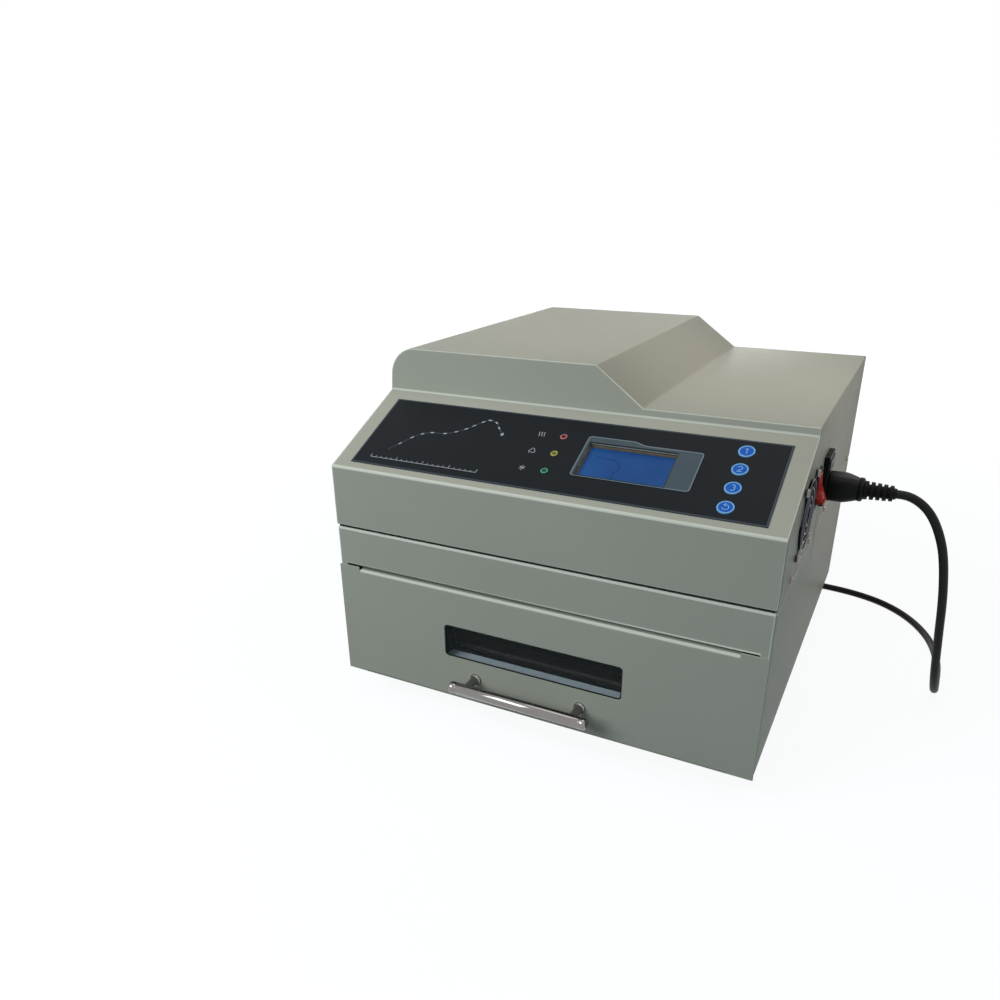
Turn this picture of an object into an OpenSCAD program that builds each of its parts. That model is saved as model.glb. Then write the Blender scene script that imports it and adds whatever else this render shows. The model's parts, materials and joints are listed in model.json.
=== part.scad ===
// Bench reflow oven with a front drawer, a slanted control panel and a mains lead.
// X runs across the front, Y from the front to the rear, Z up. Millimetres.

/* [Case] */
// Width of the case over its side walls
case_w = 372; // [350:1:450]
// Depth of the case from the front sheet to the rear sheet
case_d = 405; // [400:1:490]
// Height of the drawer plate's lower edge above the bench
lip_z = 25; // [20:1:32]
// Thickness of the painted steel sheet
sheet_t = 1.2; // [1:0.1:1.5]
// Height of the fixed strip between the drawer and the cover
strip_h = 34.4; // [28:0.1:45]
// Gap of the seam below the cover
seam_gap = 2.2; // [1:0.1:3]
// Height of the upright part of the cover's front
cover_front_h = 52.6; // [44:0.1:66]
// Height of the flange inside the cover that its screws go into
inner_flange_h = 14.3; // [12:0.1:16]

/* [Top of the cover] */
// Depth of the slanted control panel, seen from above
slope_run = 95; // [85:1:114]
// Rise of the slanted control panel
slope_rise = 45; // [38:1:54]
// Height of the low top above the slanted panel
low_riser_h = 7; // [5:1:12]
// Height of the raised top above the low top
hump_h = 30; // [25:1:40]
// Lean of the riser behind the slanted panel, in degrees
riser_lean = 6.8; // [0:0.1:10]
// Distance from the left wall to the end of the raised top
hump_w = 195.5; // [170:0.5:215]
// Run of the ramp from the raised top down to the low top
hump_ramp = 42.2; // [30:0.1:50]
// Radius of the raised top's left corner
hump_r = 23; // [10:1:28]

/* [Drawer front] */
// Height of the drawer plate
plate_h = 108.3; // [100:0.1:125]
// Gap between the drawer plate and the sheets around it
plate_gap = 0.5; // [0.4:0.1:1]
// How far the drawer plate stands proud of the case front
plate_proud = 1.5; // [1.5:0.1:3]
// Width of the flat ears beside the plate's folded flanges
ear_w = 20; // [16:1:26]
// Drop of the folded flanges inside the ears
flange_drop = 2.2; // [1:0.1:3]
// Depth of the drawer front from its face to its inner panel
door_depth = 19.7; // [17:0.1:24]
// Thickness of the drawer's inner sheets
inner_t = 1.2; // [1:0.1:1.5]
// Width of the window
window_w = 160; // [130:1:192]
// Height of the window
window_h = 30; // [24:1:40]
// Height of the window's lower edge above the plate's lower edge
window_z = 42.5; // [40:0.5:50]
// Offset of the window from the middle
window_x = -0.5; // [-5:0.5:5]
// Corner radius of the window
window_r = 3.5; // [2:0.5:6]
// Thickness of the window glass
glass_t = 4; // [3:0.5:5]
// Border of the glass behind the plate
glass_border = 8; // [6:1:10]

/* [Handle] */
// Diameter of the handle bar
bar_d = 10; // [8:0.5:12]
// Length of the handle bar
bar_l = 124; // [116:1:150]
// Distance between the handle's two posts
post_pitch = 96; // [80:1:104]
// Diameter of the handle posts
post_d = 8; // [6:0.5:9]
// Distance from the case front to the middle of the bar
bar_out = 21; // [18:1:30]
// Height of the bar above the plate's lower edge
bar_up = 26; // [20:1:32]
// Offset of the handle from the middle
bar_x = -3; // [-10:1:10]

/* [Drawer] */
// Width of the soldering area
tray_w = 306; // [280:1:312]
// Depth of the soldering area
tray_l = 322; // [280:1:326]
// Height of the tray's surface above the plate's lower edge
tray_z = 41; // [36:1:46]
// Height of the tray's side lips
tray_lip = 6; // [3:1:8]
// Height of the drawer's side sheets
drawer_side_h = 64; // [54:1:74]
// Thickness of one telescopic runner
runner_t = 12.7; // [12:0.1:13.5]
// Height of one telescopic runner
runner_h = 45; // [36:1:50]
// Length of one telescopic runner
runner_l = 340; // [330:1:345]
// Running gap between the members of a runner
runner_gap = 0.6; // [0.5:0.1:0.9]

/* [Oven chamber] */
// Height of the chamber liner
liner_h = 37; // [34:0.5:39]
// Thickness of the liner sheet
liner_t = 1; // [0.8:0.1:1.2]
// Thickness of the insulation around the liner
insulation_t = 18; // [14:1:19]
// Number of quartz heaters
heater_count = 6; // [4:1:8]
// Diameter of a quartz heater
heater_d = 10; // [8:1:12]
// Radius of the circulation impeller
impeller_r = 55; // [40:1:66]
// Height of the circulation impeller
impeller_h = 14; // [10:1:16]
// Radius of the circulation motor
motor_r = 35; // [28:1:42]
// Height of the circulation motor
motor_h = 50; // [40:1:58]
// Height of the motor bracket
bracket_h = 30; // [24:1:34]
// Radius of the motor shaft
shaft_r = 4; // [3:0.5:5]

/* [Control panel] */
// Width of the black overlay
overlay_w = 342; // [320:1:348]
// Height of the black overlay along the slope
overlay_h = 84.6; // [78:0.1:88]
// Distance of the overlay from the slope's lower edge
overlay_v = 8; // [5:0.5:10]
// Thickness of the overlay
overlay_t = 0.5; // [0.4:0.1:0.8]
// Distance of the keys from the middle
key_x = 139.4; // [130:0.1:150]
// Distance of the lowest key from the slope's lower edge
key_v = 20.6; // [18:0.1:24]
// Distance between keys
key_pitch = 19.8; // [17:0.1:21]
// Diameter of a key
key_d = 13; // [11:0.5:14]
// Travel of a key
key_travel = 0.4; // [0.3:0.1:0.6]
// Offset of the indicator lamps from the middle
lamp_x = -2; // [-8:1:4]
// Distance of the lowest lamp from the slope's lower edge
lamp_v = 29.9; // [26:0.1:34]
// Distance between lamps
lamp_pitch = 20.3; // [17:0.1:22]
// Diameter of an indicator lamp
lamp_d = 5; // [4:0.5:5]
// Outer diameter of a lamp's collar
collar_d = 7.6; // [7:0.1:9]
// Distance of the display window's left edge from the middle
display_x = 21.7; // [18:0.1:26]
// Distance of the display window's lower edge from the slope's lower edge
display_v = 31; // [28:0.1:36]
// Width of the display window
display_w = 70; // [60:0.5:74]
// Height of the display window
display_h = 37; // [32:0.5:42]

/* [Side fan] */
// Size of the side fan
side_fan = 60; // [50:1:60]
// Distance of the side fan's centre ahead of the slanted panel's rear end
side_fan_lead = 18; // [16:0.5:20]
// Depth of both fans
fan_depth = 25; // [20:1:28]
// Diameter of the guard wire
wire_d = 1.6; // [1.2:0.1:2]
// Number of rings of the guard
guard_rings = 4; // [3:1:5]

/* [Mains side] */
// Distance of the switch from the case front
switch_y = 118.5; // [118:0.5:122]
// Width of the switch bezel
switch_w = 25.5; // [22:0.5:26]
// Height of the switch bezel
switch_h = 31; // [29:0.5:34]
// Swing of the rocker from off to on, in degrees
rocker_throw = 30; // [16:1:30]
// Distance of the mains inlet from the case front
inlet_y = 165; // [160:1:180]
// Width of the inlet bezel
inlet_w = 30; // [29:1:34]
// Height of the inlet bezel
inlet_h = 41; // [41:1:46]
// How far the inlet bezel stands proud
inlet_proud = 4.5; // [3:0.5:6]

/* [Rear and feet] */
// Size of the exhaust fan
exhaust_fan = 80; // [60:1:80]
// Offset of the exhaust fan from the middle
exhaust_x = 70; // [60:1:90]
// Width of a vent slot
slot_h = 4; // [3:0.5:4]
// Diameter of a foot
foot_d = 30; // [24:1:36]
// Distance of the feet's middles from the walls
foot_inset = 48; // [44:1:60]

/* [Hidden] */

$fn = 48;
eps = 0.01;          // overlap of cutting shapes past the faces that they cut
fit = 0.3;           // clearance between pieces that move past each other
run_fit = 0.05;      // radial clearance of a shaft in its bore
press = 0.1;         // radial clearance of a screw in its hole

// Levels and outlines of the case
half_w = case_w / 2;
in_w = half_w - sheet_t;
wall_z = lip_z + 7;
plate_top = lip_z + plate_h;
strip_z = plate_top + plate_gap;
seam_z = strip_z + strip_h;
cover_z = seam_z + seam_gap;
slope_z = cover_z + cover_front_h;
slope_top = slope_z + slope_rise;
low_z = slope_top + low_riser_h;
hump_z = low_z + hump_h;
slope_a = atan(slope_rise / slope_run);
shelf_z = seam_z + inner_flange_h;
hump_x0 = -half_w + hump_w;
hump_x1 = hump_x0 + hump_ramp;
rear_in = case_d - sheet_t;
pan_fold = 14;       // how far the base pan's folds reach up inside the walls

// Screws
screw_r = 1.5;
screw_head_r = 3.2;
screw_head_h = 1.8;
screw_l = 6;
side_screw_z = cover_z + 4.1;
side_screw_y0 = 46;
side_screw_end = 31;
side_screw_n = 5;
side_screw_step = (case_d - side_screw_y0 - side_screw_end) / (side_screw_n - 1);
joggle = 0.2;        // gap between the cover's side and the flange inside it
rear_flange = 14;    // width of the folded edges that the rear panel is screwed to
rear_low_z = [wall_z + 20, wall_z + 110];
rear_high_z = [shelf_z + 14, low_z - 14];

// Feet
foot_xy = [for (sx = [-1, 1], y = [foot_inset, case_d - foot_inset]) [sx * (half_w - foot_inset), y]];
foot_taper = 2;
foot_recess_r = 6;
foot_recess_h = 8;

// Drawer
door_half = half_w - ear_w - plate_gap;
door_in_y = door_depth - plate_proud;
plate_in_y = sheet_t - plate_proud;
door_z0 = lip_z + 1;
door_z1 = plate_top - flange_drop;
window_z0 = lip_z + window_z;
drawer_half = door_half - 0.3;
drawer_back = door_in_y + inner_t + runner_l;
drawer_floor = lip_z + 15;
tray_top = lip_z + tray_z;
tray_t = 1.2;
tray_y = door_in_y + inner_t + 3;
tray_lip_t = 2;
tray_seat = 4;
rail_h = 6;
tray_slot = [16, 6];
tray_slots = [12, 14];

// Runners, on each side of the drawer
runner_z = lip_z + 57.5;
runner_y = door_in_y + inner_t;
runner_sheet = 1.1;
runner_x0 = drawer_half;
runner_x1 = drawer_half + runner_t;

// Oven chamber
liner_z = plate_top + 2.2;
liner_half = half_w - 29;
liner_y0 = 22;
liner_y1 = case_d - 33;
liner_top = liner_z + liner_h + liner_t;
insul_half = liner_half + insulation_t + 2;
insul_y0 = liner_y0 - insulation_t;
insul_y1 = liner_y1 + insulation_t;
heater_z = liner_z + 8;
heater_cap = 12;
heater_edge = 35;
probe_x = 100;
probe_z = liner_top - liner_t - 9;
probe_r = 1.5;
heater_step = (liner_y1 - liner_y0 - 2 * heater_edge) / (heater_count - 1);
motor_x = hump_x0 - 80;
motor_y = (liner_y0 + liner_y1) / 2;
shaft_hole_r = 10;
impeller_z = liner_top - liner_t - 6 - impeller_h;
motor_z = shelf_z + sheet_t + bracket_h;
cooling_z = motor_z + motor_h + 4;
cooling_h = 10;
cooling_r = 28;

// Control panel: local X across, local Y up the slope, local Z out of it
board_z = -10.4;     // upper face of the control board
board_t = 1.6;
tact_top = -7.4;
display_face = -4.2;
key_out = 0.6;
lamp_out = 0.7;
collar_out = 0.5;
surround_t = 0.3;
lamp_hole_r = collar_d / 2 - 0.8;   // hidden under the collar
key_hole_r = key_d / 2 + 0.2;
surround = [[-3.2, -1.5], [-3.2, 44.3], [35.3, 44.3], [43.3, 41], [89.3, 41], [89.3, -1.5]];

// Right side: fan, switch and inlet
side_fan_y = slope_run - side_fan_lead;
side_fan_z = shelf_z + sheet_t + side_fan / 2 + 0.8;
guard_r = side_fan / 2 - 3.5;
exhaust_z = shelf_z + sheet_t + exhaust_fan / 2 + 3;
fan_pitch = 0.8333;  // share of a fan's size between its screw holes
fan_bore = 0.475;    // share of a fan's size that its bore's radius takes
bearing_r = 1.5;
switch_z = slope_z - 2;
switch_proud = 2;
rocker_half = 11.2;
rocker_room = 1.9;
rocker_wide = switch_w - 7.3;
rocker_x = half_w - 2;
rocker_out = 7.5;
rocker_pin_r = 1.5;
inlet_z = switch_z - 3.5;
socket_z = inlet_z - 6.5;
socket_w = 24.6;
socket_h = 16.6;
socket_depth = 17;
fuse_z = inlet_z + inlet_h / 2 - 9;
fuse_w = 25;
fuse_h = 12;
blade = [13, 2, 4.2];
blade_pitch = 7;
blade_gap = 0.4;
data_y = 60;
data_z = cover_z + 28;
data_w = 12;
data_h = 11;

// Mains lead. The tube follows lead_route, and tail_route after the coil.
cord_d = 7;
cord_sides = 10;
lead_x0 = half_w + inlet_proud + 0.3;
connector_l = 26.4;
connector_disc = 2.8;
relief_l = 22;
lead_x1 = lead_x0 + connector_l + connector_disc + relief_l;
coil_c = [20, 466];
coil_in_r = 32.5;
coil_out_r = 39.5;
coil_base = 1.1;
lead_route = [
  [242, 165, 211], [250, 165, 210.6], [259, 165, 207], [268, 166, 199], [276, 168, 186],
  [283, 171, 168], [288, 175, 146], [292, 180, 120], [295, 186, 92], [298, 193, 64],
  [301, 202, 38], [304, 216, 18], [306, 236, 7], [307, 260, 3.6], [307, 286, 3.6],
  [304, 314, 3.6], [297, 342, 3.6], [285, 368, 3.6], [268, 391, 3.6], [246, 409, 3.6],
  [220, 420, 3.6], [192, 425, 3.6], [162, 426.5, 3.6], [132, 426.5, 3.6], [102, 426.5, 3.6],
  [76, 426.5, 3.8], [52, 426.5, 4.4], [32, 426.5, 4.6], [22, 426.5, 4.6]
];
tail_route = [
  [18, 502, 18.6], [30, 502, 18.6], [42, 502, 18.6], [54, 502, 18.6], [68, 502, 18.6]
];
plug_r = 18.5;
plug_axis_z = 18.6;

// The origin is under the middle of the oven without its lead
reach_left = half_w + screw_head_h;
reach_right = half_w - 2 + rocker_out * cos(rocker_throw / 2) + rocker_half * sin(rocker_throw / 2);
reach_front = bar_out + bar_d / 2;
reach_rear = case_d + screw_head_h;
shift = [(reach_left - reach_right) / 2, (reach_front - reach_rear) / 2, 0];

paint = [0.66, 0.65, 0.58];
steel = [0.72, 0.73, 0.74];
black = [0.09, 0.09, 0.1];

// ---- Helpers ----

module placed() {
  translate(shift) children();
}

// A box from its lowest to its highest corner
module block(a, b) {
  translate(a) cube(b - a);
}

// Extrudes an outline drawn as (y, z) from x0 to x1
module along_x(x0, x1) {
  translate([x0, 0, 0]) rotate([90, 0, 90]) linear_extrude(height = x1 - x0) children();
}

// Extrudes an outline drawn as (x, z) from y0 to y1
module along_y(y0, y1) {
  translate([0, y1, 0]) rotate([90, 0, 0]) linear_extrude(height = y1 - y0) children();
}

module rod_x(x0, x1, y, z, r) {
  translate([x0, y, z]) rotate([0, 90, 0]) cylinder(r = r, h = x1 - x0);
}

module rod_y(x, y0, y1, z, r) {
  translate([x, y0, z]) rotate([-90, 0, 0]) cylinder(r = r, h = y1 - y0);
}

module rod_z(x, y, z0, z1, r) {
  translate([x, y, z0]) cylinder(r = r, h = z1 - z0);
}

// A rectangle from a to b with round corners
module round_rect(a, b, r) {
  translate([a.x + r, a.y]) square([b.x - a.x - 2 * r, b.y - a.y]);
  translate([a.x, a.y + r]) square([b.x - a.x, b.y - a.y - 2 * r]);
  for (x = [a.x + r, b.x - r], y = [a.y + r, b.y - r]) translate([x, y]) circle(r = r);
}

// Places children on the slanted panel, v up the slope from its lower edge
module on_slope(x = 0, v = 0) {
  translate([x, 0, slope_z]) rotate([slope_a, 0, 0]) translate([0, v, 0]) children();
}

function riser_y(z) = slope_run + (z - slope_top) * tan(riser_lean);

// ---- Case ----

// Inner corner between the slanted panel and the riser behind it
function riser_foot(t) =
  let (z = t * (tan(slope_a) / cos(riser_lean) - 1 / cos(slope_a)) / (1 - tan(riser_lean) * tan(slope_a)))
  [slope_run + z * tan(riser_lean) + t / cos(riser_lean), slope_top + z];

// Side outline of the cover with its raised top, its walls moved in by t
module cover_side_2d(t) {
  foot = riser_foot(t);
  top = hump_z - t;
  head_y = riser_y(top) + t / cos(riser_lean);
  polygon([[t, cover_z - t], [t, slope_z - t * tan(45 - slope_a / 2)], foot, [head_y, top],
           [case_d + t, top], [case_d + t, cover_z - t]]);
}

// Outline of the cover seen from the front, moved in by t
module cover_outline_2d(t) {
  drop = t * tan(atan(hump_h / hump_ramp) / 2);
  r = hump_r - t;
  x0 = -half_w + t;
  z0 = cover_z - t;
  intersection() {
    polygon([[x0, z0], [x0, hump_z - t], [hump_x0 - drop, hump_z - t],
             [hump_x1 - drop, low_z - t], [half_w - t, low_z - t], [half_w - t, z0]]);
    union() {
      translate([x0 + r, z0]) square([case_w, hump_z]);
      translate([x0, z0]) square([r + eps, hump_z - t - r - z0]);
      translate([x0 + r, hump_z - t - r]) circle(r = r, $fn = 96);
    }
  }
}

module cover_form(t) {
  intersection() {
    along_x(-half_w + t, half_w - t) cover_side_2d(t);
    along_y(0, case_d + 2 * t) cover_outline_2d(t);
  }
}

// The space behind the front sheet, wider than the case
module behind_front_sheet() {
  foot = riser_foot(sheet_t);
  head_y = riser_y(hump_z) + sheet_t / cos(riser_lean);
  far_y = case_d + 1;
  far_z = hump_z + 1;
  along_x(-half_w - 1, half_w + 1)
    polygon([[sheet_t, cover_z - 1], [sheet_t, slope_z - sheet_t * tan(45 - slope_a / 2)], foot,
             [head_y + tan(riser_lean), far_z], [far_y, far_z], [far_y, cover_z - 1]]);
}

// Calls its children at each screw hole of a fan, in the plane across its axis
module fan_holes(size) {
  for (a = [-1, 1], b = [-1, 1]) translate([a, b, 0] * size * fan_pitch / 2) children();
}

module side_screw_spots() {
  for (i = [0:side_screw_n - 1], s = [-1, 1])
    translate([s * half_w, side_screw_y0 + i * side_screw_step, side_screw_z])
      rotate([0, s * 90, 0]) children();
}

module rear_screw_spots() {
  for (s = [-1, 1], z = concat(rear_low_z, rear_high_z))
    translate([s * (in_w - rear_flange / 2), case_d, z]) rotate([-90, 0, 0]) children();
}

module screw(l = screw_l) {
  head_taper = 0.7;
  cross_l = 4;
  cross_w = 0.8;
  cross_depth = 0.9;
  translate([0, 0, -l]) cylinder(r = screw_r, h = l + eps);
  difference() {
    cylinder(r1 = screw_head_r, r2 = screw_head_r - head_taper, h = screw_head_h);
    for (a = [0, 90]) rotate(a)
      translate([-cross_l / 2, -cross_w / 2, screw_head_h - cross_depth]) cube([cross_l, cross_w, 1]);
  }
}

module screw_hole() {
  translate([0, 0, -screw_l]) cylinder(r = screw_r + press, h = 2 * screw_l);
}

module base_pan() {
  pan_y = door_in_y + inner_t + 0.8;  // clear of the closed drawer
  vents = 4;                          // air slots on each side of the middle one
  vent_step = 26;
  vent_half = 3;
  vent_y0 = case_d * 0.55;
  vent_y1 = case_d * 0.7;
  color(paint) placed() difference() {
    union() {
      block([-in_w, pan_y, lip_z], [in_w, rear_in, lip_z + sheet_t]);
      for (s = [0, 1]) mirror([s, 0, 0])
        block([in_w - sheet_t, pan_y, lip_z], [in_w, rear_in, wall_z + pan_fold]);
    }
    for (p = foot_xy) rod_z(p.x, p.y, lip_z - 1, lip_z + 3, screw_r + press);
    for (i = [-vents:vents])
      block([i * vent_step - vent_half, vent_y0, lip_z - 1], [i * vent_step + vent_half, vent_y1, lip_z + 3]);
  }
}

module lower_chassis() {
  step_x = in_w - joggle;              // outer face of the stepped flange at the sides
  step_y = 2 * sheet_t + joggle;       // its inner face at the front
  strip_fold = 14;
  rear_low = wall_z + pan_fold + 1;    // the rear folds end clear of the base and of the flange
  rear_high = seam_z - 6;
  color(paint) placed() difference() {
    union() {
      for (s = [0, 1]) mirror([s, 0, 0]) {
        // side wall, the fold beside the drawer, and the folded rear edge
        block([in_w, 0, wall_z], [half_w, case_d, seam_z]);
        block([runner_x1 + 2 * fit, 0, wall_z], [half_w, sheet_t, strip_z + eps]);
        block([in_w - rear_flange, rear_in - sheet_t, rear_low], [in_w + eps, rear_in, rear_high]);
        // stepped flange inside the cover
        block([step_x - sheet_t, sheet_t, seam_z - sheet_t], [half_w, rear_in, seam_z]);
        block([step_x - sheet_t, step_y, seam_z - sheet_t], [step_x, rear_in, shelf_z]);
      }
      // front strip with its lower fold and the stepped flange above it
      block([-half_w, 0, strip_z], [half_w, sheet_t, seam_z]);
      block([-door_half, 0, strip_z], [door_half, strip_fold, strip_z + sheet_t]);
      block([-half_w, 0, seam_z - sheet_t], [half_w, step_y, seam_z]);
      block([-step_x, sheet_t + joggle, seam_z - sheet_t], [step_x, step_y, shelf_z]);
    }
    side_screw_spots() screw_hole();
    rear_screw_spots() screw_hole();
  }
}

module front_hood() {
  color(paint) placed() difference() {
    cover_form(0);
    behind_front_sheet();
    // display, lamps and keys
    on_slope(display_x, display_v) block([0, 0, -3], [display_w, display_h, 3]);
    lamp_spots() rod_z(0, 0, -3, 3, lamp_hole_r);
    key_spots() rod_z(0, 0, -3, 3, key_hole_r);
  }
}

// A hole through the right wall behind a bezel, which covers edge of the wall around it
module wall_hole(y, z, bezel, edge) {
  half = bezel / 2 - edge;
  block([in_w - 1, y - half.x, z - half.y], [half_w + 1, y + half.x, z + half.y]);
}

module top_cover() {
  color(paint) placed() difference() {
    intersection() {
      cover_form(0);
      behind_front_sheet();
    }
    difference() {
      cover_form(sheet_t);
      // folded rear edges stay, for the rear panel's screws
      for (s = [0, 1]) mirror([s, 0, 0])
        block([in_w - rear_flange, rear_in - sheet_t, shelf_z + 4], [half_w, rear_in, low_z - sheet_t]);
    }
    side_screw_spots() screw_hole();
    rear_screw_spots() screw_hole();
    // fan, switch and inlet
    rod_x(in_w - 1, half_w + 1, side_fan_y, side_fan_z, guard_r);
    translate([half_w, side_fan_y, side_fan_z]) rotate([0, 90, 0]) fan_holes(side_fan) screw_hole();
    wall_hole(switch_y, switch_z, [switch_w, switch_h], [1.75, 1.5]);
    wall_hole(inlet_y, inlet_z, [inlet_w, inlet_h], [1.5, 1.5]);
    block([-half_w - 1, data_y - data_w / 2 - fit, data_z - data_h / 2 - fit],
          [-in_w + 1, data_y + data_w / 2 + fit, data_z + data_h / 2 + fit]);
  }
}

module rear_panel() {
  r = exhaust_fan * fan_bore - 2;
  rows = floor(r / (2 * slot_h));
  motor_rows = 7;                // slots beside the motor
  motor_slot_half = 30;
  motor_slot_z = low_z - 16;     // lower edge of the highest
  color(paint) placed() difference() {
    union() {
      block([-in_w, rear_in, lip_z], [in_w, case_d, shelf_z]);
      along_y(rear_in, case_d) cover_outline_2d(sheet_t);
    }
    rear_screw_spots() screw_hole();
    for (i = [-rows:rows]) {
      z = i * 2 * slot_h;
      half = sqrt(r * r - z * z);
      block([exhaust_x - half, rear_in - 1, exhaust_z + z - slot_h / 2],
            [exhaust_x + half, case_d + 1, exhaust_z + z + slot_h / 2]);
    }
    translate([exhaust_x, case_d, exhaust_z]) rotate([-90, 0, 0]) fan_holes(exhaust_fan) screw_hole();
    for (i = [0:motor_rows - 1]) translate([motor_x, 0, motor_slot_z - i * 2 * slot_h])
      block([-motor_slot_half, rear_in - 1, 0], [motor_slot_half, case_d + 1, slot_h]);
  }
}

module case_screws() {
  color(steel) placed() {
    side_screw_spots() screw();
    translate([half_w + wire_d, side_fan_y, side_fan_z]) rotate([0, 90, 0]) fan_holes(side_fan) screw();
    rear_screw_spots() screw();
    translate([exhaust_x, case_d, exhaust_z]) rotate([-90, 0, 0]) fan_holes(exhaust_fan) screw();
    for (p = foot_xy) {
      rod_z(p.x, p.y, foot_recess_h - screw_head_h, foot_recess_h, screw_head_r);
      rod_z(p.x, p.y, foot_recess_h - eps, lip_z + 4, screw_r);
    }
  }
}

module feet() {
  color(black) placed() for (p = foot_xy) difference() {
    translate([p.x, p.y, 0]) cylinder(r1 = foot_d / 2 - foot_taper, r2 = foot_d / 2, h = lip_z);
    rod_z(p.x, p.y, -1, foot_recess_h, foot_recess_r);
    rod_z(p.x, p.y, 0, lip_z + 1, screw_r + press);
  }
}

// ---- Oven chamber ----

module chamber_liner() {
  color(steel) placed() difference() {
    union() {
      block([-liner_half, liner_y0, liner_z], [liner_half, liner_y1, liner_top]);
      block([-insul_half, insul_y0, liner_z], [insul_half, insul_y1, liner_z + liner_t]);
    }
    block([-liner_half + liner_t, liner_y0 + liner_t, liner_z - 1],
          [liner_half - liner_t, liner_y1 - liner_t, liner_top - liner_t]);
    rod_z(motor_x, motor_y, liner_top - 3, liner_top + 1, shaft_hole_r);
    rod_y(probe_x, liner_y1 - 3, liner_y1 + 1, probe_z, probe_r + press);
  }
}

module insulation() {
  color([0.93, 0.92, 0.88]) placed() difference() {
    block([-insul_half, insul_y0, liner_z + liner_t], [insul_half, insul_y1, shelf_z]);
    block([-liner_half, liner_y0, liner_z], [liner_half, liner_y1, liner_top]);
    rod_z(motor_x, motor_y, liner_top - 1, shelf_z + 1, shaft_hole_r);
    rod_y(probe_x, liner_y1 - 1, insul_y1 + 1, probe_z, probe_r + press);
  }
}

module heat_shield() {
  wide = in_w - joggle;
  color(steel) placed() difference() {
    block([-wide, sheet_t + joggle, shelf_z], [wide, rear_in, shelf_z + sheet_t]);
    rod_z(motor_x, motor_y, shelf_z - 1, shelf_z + 3, shaft_hole_r);
  }
}

// Calls its children at the middle of each heater
module heater_spots() {
  for (i = [0:heater_count - 1])
    translate([0, liner_y0 + heater_edge + i * heater_step, heater_z]) children();
}

module quartz_heaters() {
  half = liner_half - liner_t - heater_cap;
  tube_wall = 1.2;
  color([0.9, 0.88, 0.85]) placed() heater_spots() difference() {
    rod_x(-half, half, 0, 0, heater_d / 2);
    rod_x(-half - 1, half + 1, 0, 0, heater_d / 2 - tube_wall);
  }
}

module heater_holders() {
  out = liner_half - liner_t;
  side = heater_d / 2 + 2;
  color([0.95, 0.94, 0.9]) placed() heater_spots() for (s = [0, 1]) mirror([s, 0, 0])
    block([out - heater_cap, -side, -side], [out, side, side]);
}

module thermocouple() {
  probe_in = 70;
  collar_l = 6;
  color(steel) placed() {
    rod_y(probe_x, liner_y1 - probe_in, insul_y1 + eps, probe_z, probe_r);
    rod_y(probe_x, insul_y1, insul_y1 + collar_l, probe_z, 2.5 * probe_r);
  }
}

module motor_bracket() {
  top = motor_z - 2;
  plate = 42;      // half its width
  post = 36;       // from the motor's axis to each post
  post_r = 4;
  color(steel) placed() translate([motor_x, motor_y, 0]) {
    difference() {
      block([-plate, -plate, top], [plate, plate, motor_z]);
      rod_z(0, 0, top - 1, motor_z + 1, shaft_hole_r);
    }
    for (x = [-post, post], y = [-post, post]) rod_z(x, y, shelf_z + sheet_t, top + eps, post_r);
  }
}

module circulation_motor() {
  bell = motor_h / 4;
  side = motor_r * 0.86;
  cap = 3;
  color([0.35, 0.36, 0.38]) placed() translate([motor_x, motor_y, motor_z]) difference() {
    union() {
      rod_z(0, 0, 0, motor_h, motor_r * 0.8);
      block([-side, -side, bell], [side, side, 3 * bell]);
      for (z = [0, motor_h - cap]) rod_z(0, 0, z, z + cap, motor_r);
    }
    rod_z(0, 0, -1, motor_h + 1, shaft_r + run_fit);
  }
}

module circulation_shaft() {
  color(steel) placed() rod_z(motor_x, motor_y, impeller_z - 2, cooling_z + cooling_h + 1, shaft_r);
}

module circulation_impeller() {
  blades = 10;
  disc_t = 1.5;
  half_t = 0.6;
  color([0.6, 0.61, 0.62]) placed() translate([motor_x, motor_y, impeller_z]) difference() {
    union() {
      rod_z(0, 0, 0, impeller_h, 2.5 * shaft_r);
      rod_z(0, 0, impeller_h - disc_t, impeller_h, impeller_r);
      for (i = [0:blades - 1]) rotate(i * 360 / blades)
        block([impeller_r * 0.3, -half_t, 1], [impeller_r - 1, half_t, impeller_h - 1]);
    }
    rod_z(0, 0, -1, impeller_h + 1, shaft_r + run_fit);
  }
}

module motor_cooling_fan() {
  blades = 6;
  pitch = 35;
  blade = [cooling_r - 2 * shaft_r, 12, 1];
  color([0.75, 0.76, 0.78]) placed() translate([motor_x, motor_y, cooling_z]) difference() {
    union() {
      rod_z(0, 0, 0, cooling_h, 2.2 * shaft_r);
      for (i = [0:blades - 1]) rotate(i * 360 / blades)
        translate([2 * shaft_r, 0, cooling_h / 2]) rotate([pitch, 0, 0])
          translate([0, -blade.y / 2, -blade.z / 2]) cube(blade);
    }
    rod_z(0, 0, -1, cooling_h + 2, shaft_r + run_fit);
  }
}

// ---- Drawer ----

window_a = [window_x - window_w / 2, window_z0];
window_b = window_a + [window_w, window_h];

module handle_post_spots() {
  for (s = [-1, 1]) translate([bar_x + s * post_pitch / 2, 0, lip_z + bar_up]) children();
}

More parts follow.
